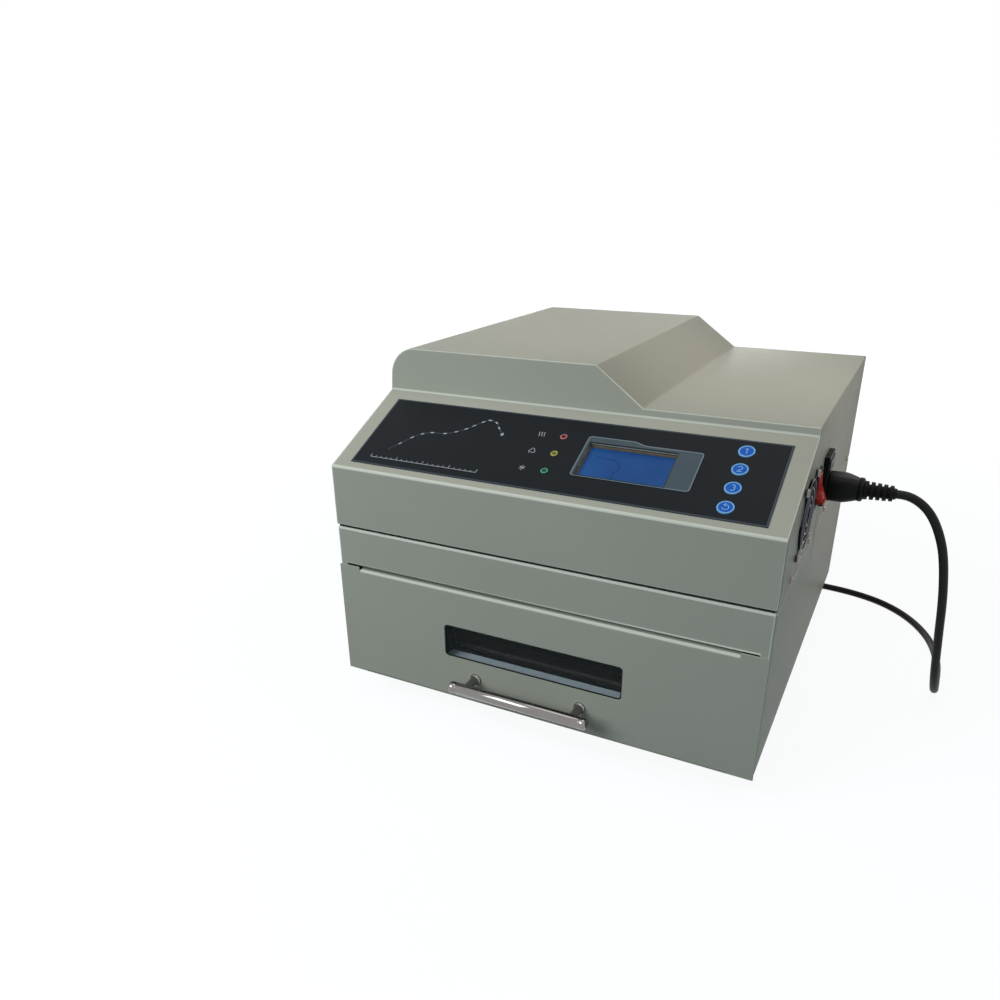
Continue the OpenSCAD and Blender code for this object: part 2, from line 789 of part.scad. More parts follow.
module drawer_front() {
  bend = 3;
  far_y = door_depth + 2 * bend;
  color(paint) placed() difference() {
    union() {
      // flat face with its ears
      block([-door_half, -plate_proud, door_z0 + bend], [door_half, plate_in_y, door_z1 - bend]);
      for (s = [0, 1]) mirror([s, 0, 0])
        block([door_half - eps, -plate_proud, lip_z], [half_w, plate_in_y, plate_top]);
      // folded pan behind it
      along_x(-door_half, door_half) intersection() {
        difference() {
          round_rect([-plate_proud, door_z0], [far_y, door_z1], bend);
          round_rect([plate_in_y, door_z0 + sheet_t], [far_y, door_z1 - sheet_t], bend - sheet_t);
        }
        translate([-plate_proud, lip_z]) square([door_depth, plate_h]);
      }
      for (s = [0, 1]) mirror([s, 0, 0])
        block([door_half - sheet_t, plate_in_y - eps, door_z0 + bend / 2],
              [door_half, door_in_y, door_z1 - bend / 2]);
    }
    along_y(-plate_proud - 1, 1) round_rect(window_a, window_b, window_r);
    handle_post_spots() rod_y(0, -plate_proud - 1, 1, 0, screw_r + press);
  }
}

module window_glass() {
  border = [glass_border, glass_border];
  color([0.3, 0.35, 0.38]) placed()
    along_y(plate_in_y, plate_in_y + glass_t) round_rect(window_a - border, window_b + border, window_r);
}

// The steel tunnel around the window between the glass and the inner panel
module window_tunnel(out) {
  step = 3;      // it is this much wider than the window all round
  edge = [step + out, step + out];
  along_y(plate_in_y + glass_t, door_in_y + inner_t)
    round_rect(window_a - edge, window_b + edge, window_r);
}

module door_insulation() {
  side = door_half - sheet_t;
  color([0.93, 0.92, 0.88]) placed() difference() {
    block([-side, plate_in_y + glass_t, door_z0 + sheet_t], [side, door_in_y, door_z1 - sheet_t]);
    window_tunnel(inner_t);
  }
}

module drawer_inner_panel() {
  color(steel) placed() difference() {
    union() {
      block([-door_half, door_in_y, door_z0], [door_half, door_in_y + inner_t, door_z1]);
      window_tunnel(inner_t);
    }
    translate([0, -eps, 0]) window_tunnel(0);
    translate([0, eps, 0]) window_tunnel(0);
  }
}

module drawer_body() {
  y0 = door_in_y + inner_t;
  x0 = drawer_half - sheet_t;
  top = drawer_floor + drawer_side_h;
  rail_top = tray_top - tray_t;
  rail_x = tray_w / 2 + tray_lip_t - tray_seat;
  color(steel) placed() {
    difference() {
      block([-drawer_half, y0, drawer_floor], [drawer_half, drawer_back, top]);
      block([-x0, y0 - 1, drawer_floor + sheet_t], [x0, drawer_back - sheet_t, top + 1]);
    }
    // welded angles that carry the tray
    for (s = [0, 1]) mirror([s, 0, 0]) {
      block([rail_x, tray_y, rail_top - sheet_t], [x0 + eps, tray_y + tray_l, rail_top]);
      block([x0 - sheet_t, tray_y, rail_top - rail_h], [x0 + eps, tray_y + tray_l, rail_top]);
    }
  }
}

module drawer_tray() {
  out = [tray_w / 2 + tray_lip_t, tray_l + 2 * tray_lip_t];
  step = [tray_w / tray_slots.x, tray_l / tray_slots.y];
  z0 = tray_top - tray_t;
  lip_top = tray_top + tray_lip;
  front_lip = 2;
  color([0.62, 0.64, 0.66]) placed() difference() {
    block([-out.x, tray_y, z0], [out.x, tray_y + out.y, lip_top]);
    block([-tray_w / 2, tray_y + tray_lip_t, tray_top],
          [tray_w / 2, tray_y + out.y - tray_lip_t, lip_top + 1]);
    block([-tray_w / 2, tray_y - 1, tray_top + front_lip],
          [tray_w / 2, tray_y + out.y / 2, lip_top + 1]);
    for (i = [0:tray_slots.x - 1], j = [0:tray_slots.y - 1])
      translate([(i + 0.5) * step.x - tray_w / 2 - tray_slot.x / 2,
                 tray_y + tray_lip_t + (j + 0.5) * step.y - tray_slot.y / 2, z0 - 1])
        cube([tray_slot.x, tray_slot.y, tray_t + 2]);
  }
}

module handle_bar() {
  flange_l = 1.5;
  flange_out = 1;
  thread_l = 6.2;
  color([0.85, 0.85, 0.87]) placed() difference() {
    union() {
      translate([bar_x, 0, 0]) rod_x(-bar_l / 2, bar_l / 2, -bar_out, lip_z + bar_up, bar_d / 2);
      handle_post_spots() {
        rod_y(0, -bar_out, -plate_proud, 0, post_d / 2);
        rod_y(0, -plate_proud - flange_l, -plate_proud, 0, post_d / 2 + flange_out);
      }
    }
    handle_post_spots() rod_y(0, -plate_proud - thread_l, 0, 0, screw_r + press);
  }
}

module handle_screws() {
  color(steel) placed() handle_post_spots() translate([0, plate_in_y, 0]) rotate([-90, 0, 0]) screw();
}

// A channel of the right runner from x0, where it is open, to its web at x1; half is half its height
module channel(x0, x1, half, t) {
  translate([0, 0, runner_z]) difference() {
    block([x0, runner_y, -half], [x1, runner_y + runner_l, half]);
    block([x0 - 1, runner_y - 1, t - half], [x1 - t, runner_y + runner_l + 1, half - t]);
  }
}

runner_half = runner_h / 2;
middle_half = runner_half - sheet_t - runner_gap;
middle_x1 = runner_x1 - sheet_t - runner_gap;
inner_half = middle_half - runner_sheet - runner_gap;
inner_x1 = middle_x1 - runner_sheet - runner_gap;

module runner_inner() {
  color([0.78, 0.79, 0.8]) placed() for (s = [0, 1])
    mirror([s, 0, 0]) translate([0, 0, runner_z]) difference() {
      block([runner_x0, runner_y, -inner_half], [inner_x1, runner_y + runner_l, inner_half]);
      block([runner_x0 + runner_sheet, runner_y - 1, runner_sheet - inner_half],
            [inner_x1 + 1, runner_y + runner_l + 1, inner_half - runner_sheet]);
    }
}

module runner_middle_left() {
  color([0.74, 0.75, 0.77]) placed() mirror([1, 0, 0])
    channel(runner_x0 + 2, middle_x1, middle_half, runner_sheet);
}

module runner_middle_right() {
  color([0.74, 0.75, 0.77]) placed() channel(runner_x0 + 2, middle_x1, middle_half, runner_sheet);
}

module runner_outer() {
  color([0.7, 0.71, 0.73]) placed() for (s = [0, 1]) mirror([s, 0, 0])
    channel(runner_x0 + 3, runner_x1, runner_half, sheet_t);
}

// Hat-shaped brackets between the runners and the side walls
module runner_brackets() {
  wide = 30;
  flange = 14;     // from the runner's middle to the brackets' upper and lower edges
  hollow = 8;
  color(steel) placed() for (s = [0, 1], y = [runner_y + wide, runner_y + runner_l - 2 * wide])
    mirror([s, 0, 0]) difference() {
      block([runner_x1, y, runner_z - flange], [in_w, y + wide, runner_z + flange]);
      block([runner_x1 + sheet_t, y - 1, runner_z - hollow], [in_w + 1, y + wide + 1, runner_z + hollow]);
    }
}

// ---- Control panel ----

module key_spots() {
  for (i = [0:3]) on_slope(key_x, key_v + i * key_pitch) children();
}

module lamp_spots() {
  for (i = [0:2]) on_slope(lamp_x, lamp_v + i * lamp_pitch) children();
}

module panel_overlay() {
  color(black) placed() difference() {
    on_slope(0, overlay_v) block([-overlay_w / 2, 0, 0], [overlay_w / 2, overlay_h, overlay_t]);
    on_slope(display_x, display_v) block([0, 0, -1], [display_w, display_h, 1]);
    key_spots() rod_z(0, 0, -1, 1, key_d / 2);
    lamp_spots() rod_z(0, 0, -1, 1, lamp_hole_r);
  }
}

module display_surround() {
  color([0.6, 0.62, 0.64]) placed() on_slope(display_x, display_v) difference() {
    translate([0, 0, overlay_t]) linear_extrude(height = surround_t) polygon(surround);
    block([0, 0, 0], [display_w, display_h, 1]);
  }
}

module display_window() {
  color([0.7, 0.8, 0.9, 0.4]) placed() on_slope(display_x, display_v)
    block([0, 0, 0.1], [display_w, display_h, overlay_t - 0.05]);
}

module display_module() {
  rim = 10;
  lip = 1;
  color([0.2, 0.35, 0.75]) placed() on_slope(display_x, display_v) difference() {
    block([-rim, -rim, board_z], [display_w + rim, display_h + rim, -sheet_t]);
    block([-lip, -lip, display_face], [display_w + lip, display_h + lip, 0]);
  }
}

module lamp(i) {
  r = lamp_d / 2;
  tip = overlay_t + lamp_out - r;
  placed() on_slope(lamp_x, lamp_v + i * lamp_pitch) {
    rod_z(0, 0, board_z, tip, r);
    intersection() {
      translate([0, 0, tip]) sphere(r = r);
      rod_z(0, 0, tip - eps, tip + r + 1, r);
    }
  }
}

module lamp_red() {
  color([0.85, 0.1, 0.1]) lamp(2);
}

module lamp_yellow() {
  color([0.85, 0.7, 0.1]) lamp(1);
}

module lamp_green() {
  color([0.1, 0.7, 0.3]) lamp(0);
}

module lamp_collars() {
  color(steel) placed() lamp_spots() difference() {
    rod_z(0, 0, overlay_t, overlay_t + collar_out, collar_d / 2);
    rod_z(0, 0, 0, overlay_t + 1, lamp_d / 2 + press);
  }
}

module key(i) {
  cap_z = -1.4;
  stem_r = 2;
  color([0.1, 0.4, 0.8]) placed() on_slope(key_x, key_v + i * key_pitch) {
    rod_z(0, 0, cap_z, overlay_t + key_out, key_d / 2 - fit);
    rod_z(0, 0, tact_top + key_travel + fit, cap_z + eps, stem_r);
  }
}

module key_1() {
  key(3);
}

module key_2() {
  key(2);
}

module key_3() {
  key(1);
}

module key_return() {
  key(0);
}

module control_board() {
  x0 = lamp_x - 22;
  x1 = key_x + 18;
  v0 = key_v - 10;
  v1 = key_v + 3 * key_pitch + 10;
  post_in = 5;     // from the board's edges
  post_r = 3;
  tact_half = 3;
  below = board_z - board_t;
  // processor, connectors and driver chips under the board: corner, then size
  chips = [
    [[x0 + 20, v0 + 20], [14, 14, 3]],
    [[x0 + 60, v0 + 15], [30, 12, 9]],
    [[x1 - 60, v0 + 30], [22, 16, 5]],
    [[x1 - 30, v0 + 10], [12, 24, 10]]
  ];
  color([0.1, 0.4, 0.2]) placed() {
    on_slope() block([x0, v0, below], [x1, v1, board_z]);
    key_spots() block([-tact_half, -tact_half, board_z], [tact_half, tact_half, tact_top]);
    on_slope() for (x = [x0 + post_in, x1 - post_in], v = [v0 + post_in, v1 - post_in])
      rod_z(x, v, board_z, -sheet_t, post_r);
    on_slope() for (c = chips)
      block([c[0].x, c[0].y, below - c[1].z], [c[0].x + c[1].x, c[0].y + c[1].y, below]);
  }
}

// ---- Electrical bay ----

power_x = 24;
power_y = liner_y0 + 150;
power_size = [126, 120];
power_z = shelf_z + sheet_t + 8;
sink_size = [84, 46, 34];
sink_y = power_y + power_size.y + 12;

module power_board() {
  top = power_z + board_t;
  post_in = 6;     // from the board's edges
  post_r = 3;
  // transformer, three relays, terminal block and filter: corner, then size
  boxes = [
    [[14, 14], [44, 36, 36]],
    [[70, 16], [14, 28, 20]],
    [[87, 16], [14, 28, 20]],
    [[104, 16], [14, 28, 20]],
    [[14, 96], [90, 12, 16]],
    [[76, 62], [34, 22, 12]]
  ];
  capacitors = [[24, 72], [50, 72]];
  capacitor_h = 30;
  capacitor_r = 9;
  color([0.15, 0.35, 0.2]) placed() translate([power_x, power_y, 0]) {
    block([0, 0, power_z], [power_size.x, power_size.y, top]);
    for (x = [post_in, power_size.x - post_in], y = [post_in, power_size.y - post_in])
      rod_z(x, y, shelf_z + sheet_t, power_z, post_r);
    for (b = boxes) translate([b[0].x, b[0].y, top]) cube(b[1]);
    for (p = capacitors) rod_z(p.x, p.y, top, top + capacitor_h, capacitor_r);
  }
}

module heat_sink() {
  fins = 11;
  fin_t = 2;
  base_t = 5;
  step = (sink_size.x - fin_t) / (fins - 1);
  color([0.75, 0.76, 0.78]) placed() translate([power_x, sink_y, shelf_z + sheet_t]) {
    block([0, 0, 0], [sink_size.x, sink_size.y, base_t]);
    for (i = [0:fins - 1])
      block([i * step, 0, base_t - eps], [i * step + fin_t, sink_size.y, sink_size.z]);
  }
}

module data_socket() {
  half = [data_w / 2, data_h / 2];
  shell = 1.6;
  body_l = 15;
  mouth_l = 8;
  tongue = [2.8, 1.4];      // half its size
  flange = 4;
  flange_t = 1.5;
  pin_y = half.x + 2.5;
  pin_r = 1;
  color([0.8, 0.8, 0.82]) placed() translate([-half_w, data_y, data_z]) {
    difference() {
      block([-1, -half.x, -half.y], [body_l, half.x, half.y]);
      block([-2, shell - half.x, shell - half.y], [mouth_l, half.x - shell, half.y - shell]);
    }
    block([-0.5, -tongue.x, -tongue.y], [mouth_l + eps, tongue.x, tongue.y]);
    block([body_l - eps, -half.x - flange, -half.y - flange],
          [body_l + flange_t, half.x + flange, half.y + flange]);
    for (s = [-1, 1])
      block([sheet_t, s * pin_y - pin_r, -pin_r], [body_l, s * pin_y + pin_r, pin_r]);
  }
}

// A fan's square frame with its hub and struts, standing on Z = 0
module fan_frame(size) {
  r = size * fan_bore;
  hub = size * 0.2;
  corner_r = 4;
  strut_t = 2.5;
  strut_half = 1.5;
  difference() {
    linear_extrude(height = fan_depth)
      round_rect([-size / 2, -size / 2], [size / 2, size / 2], corner_r);
    difference() {
      rod_z(0, 0, -1, fan_depth + 1, r);
      rod_z(0, 0, -2, strut_t, hub);
      for (a = [0, 90]) rotate(a) block([-r - 1, -strut_half, -2], [r + 1, strut_half, strut_t]);
    }
    rod_z(0, 0, -1, strut_t + 1, bearing_r + run_fit);
    fan_holes(size) rod_z(0, 0, -1, fan_depth + 1, screw_r + press);
  }
}

module fan_rotor(size) {
  blades = 7;
  pitch = 40;
  hub = size * 0.22;
  tip = size * fan_bore - 1.5;
  hub_z = 3.5;     // clear of the struts
  blade = [tip - hub, size * 0.28, 1.2];
  rod_z(0, 0, 0.3, hub_z + 0.5, bearing_r);
  rod_z(0, 0, hub_z, fan_depth - 1.5, hub);
  for (i = [0:blades - 1]) rotate(i * 360 / blades)
    translate([hub - 1, 0, fan_depth / 2 + 1]) rotate([pitch, 0, 0])
      translate([0, -blade.y / 2, -blade.z / 2]) cube(blade);
}

module at_side_fan(x) {
  translate([x, side_fan_y, side_fan_z]) rotate([0, 90, 0]) children();
}

module at_exhaust_fan() {
  translate([exhaust_x, rear_in - fan_depth, exhaust_z]) rotate([-90, 0, 0]) children();
}

module side_fan_frame() {
  color(black) placed() at_side_fan(in_w - fan_depth) fan_frame(side_fan);
}

module side_fan_rotor() {
  color([0.15, 0.15, 0.16]) placed() at_side_fan(in_w - fan_depth) fan_rotor(side_fan);
}

module side_fan_guard() {
  wire_r = wire_d / 2;
  corner = side_fan * fan_pitch / sqrt(2);
  loop_r = screw_r + press + wire_d;
  color([0.85, 0.85, 0.87]) placed() at_side_fan(half_w) difference() {
    union() {
      for (i = [1:guard_rings]) {
        r = guard_r * (i + 0.25) / (guard_rings + 0.25);
        difference() {
          rod_z(0, 0, wire_r, wire_r + wire_d, r + wire_r);
          rod_z(0, 0, 0, 2 * wire_d, r - wire_r);
        }
      }
      for (a = [45:90:315]) rotate(a) {
        block([guard_r * 0.2, -wire_r, 0], [corner - screw_r - press, wire_r, wire_d]);
        rod_z(corner, 0, 0, wire_d, loop_r);
      }
    }
    for (a = [45:90:315]) rotate(a) rod_z(corner, 0, -1, wire_d + 1, screw_r + press);
  }
}

module exhaust_fan_frame() {
  color(black) placed() at_exhaust_fan() fan_frame(exhaust_fan);
}

module exhaust_fan_rotor() {
  color([0.15, 0.15, 0.16]) placed() at_exhaust_fan() fan_rotor(exhaust_fan);
}

// ---- Switch, inlet and lead ----

module switch_housing() {
  body = [switch_w / 2 - 2, switch_h / 2 - 1.7];
  body_x = -24;
  well_x = rocker_x - half_w - 11;
  well = [rocker_wide / 2 + fit, rocker_half + rocker_room];
  pin_end = rocker_wide / 2 + 1.3;
  tab_l = 9;
  tab_half = [0.4, 3];
  color(black) placed() translate([half_w, switch_y, switch_z]) difference() {
    union() {
      block([0, -switch_w / 2, -switch_h / 2], [switch_proud, switch_w / 2, switch_h / 2]);
      block([body_x, -body.x, -body.y], [eps, body.x, body.y]);
      for (y = [-5, 5], z = [-8, 0])
        block([body_x - tab_l, y - tab_half.x, z - tab_half.y],
              [body_x + eps, y + tab_half.x, z + tab_half.y]);
    }
    block([well_x, -well.x, -well.y], [switch_proud + 1, well.x, well.y]);
    rod_y(rocker_x - half_w, -pin_end, pin_end, 0, rocker_pin_r + run_fit);
  }
}

module switch_rocker() {
  dip = 1.8;       // the two faces meet this far below their outer edges
  pin_end = rocker_wide / 2 + 1.1;
  outline = [[rocker_out, -rocker_half], [rocker_out - dip, 0], [rocker_out, rocker_half],
             [-3, 8], [-7, 3], [-7, -3], [-3, -8]];
  color([0.8, 0.08, 0.05]) placed()
    translate([rocker_x, switch_y, switch_z]) rotate([0, -rocker_throw / 2, 0]) {
      along_y(-rocker_wide / 2, rocker_wide / 2) polygon(outline);
      rod_y(0, -pin_end, pin_end, 0, rocker_pin_r);
    }
}

module mains_inlet() {
  bezel = [inlet_w / 2, inlet_h / 2];
  body = [bezel.x - 1.7, bezel.y - 1.7];
  body_x = -22;
  socket_x = inlet_proud - socket_depth;
  fuse_x = inlet_proud - 20;
  out = inlet_proud + 1;
  color(black) placed() translate([half_w, inlet_y, 0]) {
    difference() {
      union() {
        block([0, -bezel.x, inlet_z - bezel.y], [inlet_proud, bezel.x, inlet_z + bezel.y]);
        block([body_x, -body.x, inlet_z - body.y], [eps, body.x, inlet_z + body.y]);
      }
      block([socket_x, -socket_w / 2, socket_z - socket_h / 2],
            [out, socket_w / 2, socket_z + socket_h / 2]);
      block([fuse_x, -fuse_w / 2, fuse_z - fuse_h / 2], [out, fuse_w / 2, fuse_z + fuse_h / 2]);
    }
    for (i = [-1:1])
      translate([socket_x - eps, i * blade_pitch - blade.y / 2, socket_z - blade.z / 2]) cube(blade);
  }
}

// The drawer holds two fuses in its pocket, and has a grip slot in its face
module fuse_drawer() {
  half = [fuse_w / 2 - fit, fuse_h / 2 - fit];
  grip_depth = 0.4;
  pocket = [12, 20];
  pocket_x = inlet_proud - 16;
  color([0.13, 0.13, 0.14]) placed() translate([half_w, inlet_y, fuse_z]) difference() {
    block([inlet_proud - 19.5, -half.x, -half.y], [inlet_proud + 0.8, half.x, half.y]);
    block([inlet_proud - grip_depth, -5, -2], [inlet_proud + 1, 5, -0.5]);
    block([pocket_x, -pocket.y / 2, -3], [pocket_x + pocket.x, pocket.y / 2, fuse_h]);
  }
}

module mains_connector() {
  nose_x = half_w + inlet_proud - socket_depth + fit;
  body_x1 = lead_x0 + connector_l;
  relief_x = body_x1 + connector_disc;
  nose = [socket_w / 2 - fit, socket_h / 2 - fit];
  body = [13.5, 10.5];     // half its size
  body_r = 7;
  disc_r = 9;
  ribs = 5;
  rib = relief_l / ribs;
  rib_r = 6.6;             // of the first, and each next one is less by rib_taper
  rib_taper = 0.35;
  rib_share = 0.55;
  color(black) placed() translate([0, inlet_y, socket_z]) {
    difference() {
      union() {
        block([nose_x, -nose.x, -nose.y], [lead_x0 + eps, nose.x, nose.y]);
        along_x(lead_x0, body_x1) round_rect(-body, body, body_r);
      }
      for (i = [-1:1])
        translate([nose_x - 1, i * blade_pitch - blade.y / 2 - blade_gap, -blade.z / 2 - blade_gap])
          cube(blade + [2, 2, 2] * blade_gap);
    }
    rod_x(body_x1 - eps, relief_x, 0, 0, disc_r);
    rod_x(relief_x - eps, lead_x1, 0, 0, cord_d / 2 + 0.9);
    for (i = [0:ribs - 1])
      rod_x(relief_x + i * rib, relief_x + (i + rib_share) * rib, 0, 0, rib_r - i * rib_taper);
  }
}

// Points of a smooth curve through the route's points, with one more between each two
function smooth_point(p, i) =
  let (a = p[max(i - 1, 0)], b = p[i], c = p[i + 1], d = p[min(i + 2, len(p) - 1)])
  (9 * (b + c) - a - d) / 16;

function smooth(p) =
  [for (i = [0:2 * len(p) - 2]) i % 2 == 0 ? p[i / 2] : smooth_point(p, (i - 1) / 2)];

function unit(v) = v / norm(v);

// Points of the ring around point i of a line, square to it
function ring(line, i) =
  let (t = unit(line[min(i + 1, len(line) - 1)] - line[max(i - 1, 0)]),
       u = unit(cross(t, [0.5, 0, 0.87])), v = cross(t, u))
  [for (k = [0:cord_sides - 1]) let (a = k * 360 / cord_sides)
    line[i] + cord_d / 2 * (cos(a) * u + sin(a) * v)];

module tube(line) {
  n = len(line);
  points = [for (i = [0:n - 1]) each ring(line, i)];
  walls = [for (i = [0:n - 2], k = [0:cord_sides - 1])
    let (a = i * cord_sides, k1 = (k + 1) % cord_sides)
    [a + k, a + k1, a + k1 + cord_sides, a + k + cord_sides]];
  first = [for (k = [cord_sides - 1:-1:0]) k];
  last = [for (k = [0:cord_sides - 1]) (n - 1) * cord_sides + k];
  polyhedron(points = points, faces = concat(walls, [first, last]));
}

module mains_cord() {
  color(black) placed() {
    tube(smooth(lead_route));
    tube(tail_route);
  }
}

module cord_coil() {
  r = cord_d / 2;
  top = coil_base + 2 * cord_d;
  color([0.12, 0.12, 0.13]) placed() translate([coil_c.x, coil_c.y, 0]) rotate_extrude($fn = 96) {
    round_rect([coil_in_r - r, coil_base], [coil_out_r + r, top], r - eps);
    translate([coil_in_r, top - r]) square([cord_d, r + eps]);
    translate([(coil_in_r + coil_out_r) / 2, top + r]) circle(r = r);
  }
}

module mains_plug() {
  x0 = tail_route[len(tail_route) - 1].x;
  relief = 24;
  body = 36;
  neck_l = 8;
  ribs = 5;
  rib_r = 5.4;             // of the first, and each next one is more by rib_rise
  rib_rise = 0.5;
  rib_share = 0.55;
  pin_l = 19;
  pin_y = 9.5;
  pin_r = 2.4;
  color(black) placed() translate([x0, tail_route[0].y, plug_axis_z]) {
    for (i = [0:ribs - 1])
      rod_x(i * relief / ribs, (i + rib_share) * relief / ribs, 0, 0, rib_r + i * rib_rise);
    rod_x(0, relief + eps, 0, 0, cord_d / 2 + 0.9);
    rod_x(relief, relief + neck_l + eps, 0, 0, plug_r * 0.6);
    rod_x(relief + neck_l, relief + body, 0, 0, plug_r);
    for (s = [-1, 1]) rod_x(relief + body - eps, relief + body + pin_l, s * pin_y, 0, pin_r);
  }
}

base_pan();
lower_chassis();
top_cover();
front_hood();
rear_panel();
case_screws();
feet();
chamber_liner();
insulation();
heat_shield();
quartz_heaters();
heater_holders();
thermocouple();
motor_bracket();
circulation_motor();
circulation_shaft();
circulation_impeller();
motor_cooling_fan();
drawer_front();
window_glass();
door_insulation();
drawer_inner_panel();
drawer_body();
drawer_tray();
handle_bar();
handle_screws();
runner_inner();
runner_middle_left();
runner_middle_right();
runner_outer();
runner_brackets();
panel_overlay();
display_surround();
display_window();
display_module();
lamp_red();
lamp_yellow();
lamp_green();
lamp_collars();
key_1();
key_2();
key_3();
key_return();
control_board();
power_board();
heat_sink();
data_socket();
side_fan_frame();
side_fan_rotor();
side_fan_guard();
exhaust_fan_frame();
exhaust_fan_rotor();
switch_housing();
switch_rocker();
mains_inlet();
fuse_drawer();
mains_connector();
mains_cord();
cord_coil();
mains_plug();
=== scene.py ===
"""Looks of a bench reflow oven: painted sheet case, front drawer, control panel, mains lead."""
import json
import math

import bmesh
import bpy
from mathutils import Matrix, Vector


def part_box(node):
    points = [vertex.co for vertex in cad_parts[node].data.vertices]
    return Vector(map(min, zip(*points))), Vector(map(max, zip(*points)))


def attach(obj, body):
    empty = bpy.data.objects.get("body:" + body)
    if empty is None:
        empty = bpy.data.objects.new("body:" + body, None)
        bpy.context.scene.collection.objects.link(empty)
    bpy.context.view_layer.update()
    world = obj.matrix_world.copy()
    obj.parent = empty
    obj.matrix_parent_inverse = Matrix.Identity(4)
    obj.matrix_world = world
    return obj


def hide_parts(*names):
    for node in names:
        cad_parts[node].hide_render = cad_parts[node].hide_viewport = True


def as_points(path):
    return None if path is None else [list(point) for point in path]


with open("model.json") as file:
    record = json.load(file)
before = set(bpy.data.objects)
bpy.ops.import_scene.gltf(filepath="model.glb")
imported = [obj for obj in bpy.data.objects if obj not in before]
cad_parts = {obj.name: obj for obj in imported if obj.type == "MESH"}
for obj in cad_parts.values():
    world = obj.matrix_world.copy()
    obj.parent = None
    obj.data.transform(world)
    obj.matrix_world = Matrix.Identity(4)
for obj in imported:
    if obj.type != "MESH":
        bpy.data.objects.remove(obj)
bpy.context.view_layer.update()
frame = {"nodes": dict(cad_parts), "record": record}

MM = 0.001
TAU = 2 * math.pi

# ---- Places and sizes ----
# Lengths are in millimetres from the middle of the case front, at the height of the bench.
# A turned profile is a list of (distance along its axis, radius).

chassis_low, chassis_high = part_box("lower_chassis")
CASE_X = (chassis_low.x + chassis_high.x) / 2
FRONT_Y = chassis_low.y
HALF_W = (chassis_high.x - chassis_low.x) / 2 / MM
WALL_T = 1.2

# Camera, fitted to the photograph
CAMERA_PLACE = (249.07, -527.07, 433.31)
CAMERA_TURN = (65.02, 0.37, 27.00)
CAMERA_LENS, CAMERA_SENSOR = 29.74, 36
CAMERA_SHIFT_X, CAMERA_SHIFT_Y = -0.0064, 0.0726

# Folds of the sheet metal
FOLD_ANGLE = math.radians(30)
FOLD_LENGTH = 20 * MM        # shorter edges aren't folds
FOLD_FACE = 1.35 * MM        # nor are edges of narrower faces
HOLLOW_FACE = 4 * MM         # least face beside an inner corner that is a fold
EAR_LIFT = 2.4               # the folded middle of the drawer front hangs lower than its ears

# Slanted control panel: x is across it, v is up its slope from its lower edge
SLOPE_Z, SLOPE_RISE, SLOPE_RUN = 223.0, 45.0, 95.0
SLOPE_ANGLE = math.atan2(SLOPE_RISE, SLOPE_RUN)
OVERLAY_V, OVERLAY_H, OVERLAY_W, OVERLAY_T = 8.0, 84.6, 342.0, 0.5
BORDER_OUT, BORDER_IN = 0.15, 1.6

# Print on the overlay: its lower and upper face, and a step up where lines cross
INK_LOW = OVERLAY_T - 0.02
INK_HIGH = OVERLAY_T + 0.06
INK_STEP = 0.01

# Temperature curve of the usual reflow form, and its time axis
CURVE = [Vector(point) for point in (
    (-145, 28), (-138, 37), (-131, 46), (-124, 52), (-116, 55), (-104, 56), (-95, 60),
    (-88, 65), (-83, 70), (-77, 76), (-72, 79), (-65, 77), (-60, 71), (-54, 64))]
CURVE_LINE, CURVE_DASH, CURVE_DASH_HALF = 0.9, 1.3, 1.5
CURVE_END = [(0, 2.2), (1.6, 0), (0, -2.2), (-1.6, 0)]
AXIS_LEFT, AXIS_RIGHT, AXIS_V, AXIS_LINE = -156, -56, 17, 0.5
AXIS_PARTS, AXIS_LONG_EVERY = 20, 5
TICK_LONG, TICK_SHORT = 3.4, 1.7

# Lamps, and the signs beside them
LAMP_X, LAMP_V, LAMP_PITCH = -2.0, 29.9, 20.3
BEZEL_R, BEZEL_HOLE_R, BEZEL_T = 2.95, 1.95, 0.5
SIGN_X, SIGN_LINE = LAMP_X - 19, 0.55
WAVE_PITCH, WAVE_SWING, WAVE_H = 2.2, 0.55, 5.2
BLADE_SIGN_R, BLADE_SIGN_AWAY = 1.4, 1.5
FROST_R = 2.8

# Display, from the lower left corner of its opening
DISPLAY_X, DISPLAY_V, DISPLAY_W, DISPLAY_H = 21.7, 31.0, 70.0, 37.0
SCREEN_LOW = -4.2
SCREEN_HIGH = SCREEN_LOW + 0.5
SURROUND_LOW, SURROUND_HIGH = OVERLAY_T, OVERLAY_T + 0.3
SURROUND_OUTLINE = [(-3.2, -1.5), (89.3, -1.5), (89.3, 41.0), (43.3, 41.0), (35.3, 44.3), (-3.2, 44.3)]
SURROUND_RIM = [(-2.7, -1.0), (88.8, -1.0), (88.8, 40.5), (43.1, 40.5), (35.1, 43.8), (-2.7, 43.8)]
TRACE_POINTS = [(8, 28), (15, 25.5), (23, 25), (28, 21), (30, 15.5), (27, 10), (28, 5)]

# Keys, from the top one down
KEY_X, KEY_V, KEY_PITCH, KEY_R = 139.4, 80.0, 19.8, 6.2
KEY_RING_W = 1.15
KEY_PROFILE = [(-6.7, 2.0), (-1.4, 2.0), (-1.4, KEY_R), (0.75, KEY_R), (0.98, KEY_R - 0.12),
               (1.08, KEY_R - 0.4), (1.08, KEY_R - 0.95), (0.98, KEY_R - 1.2), (0.96, KEY_R - 1.5)]

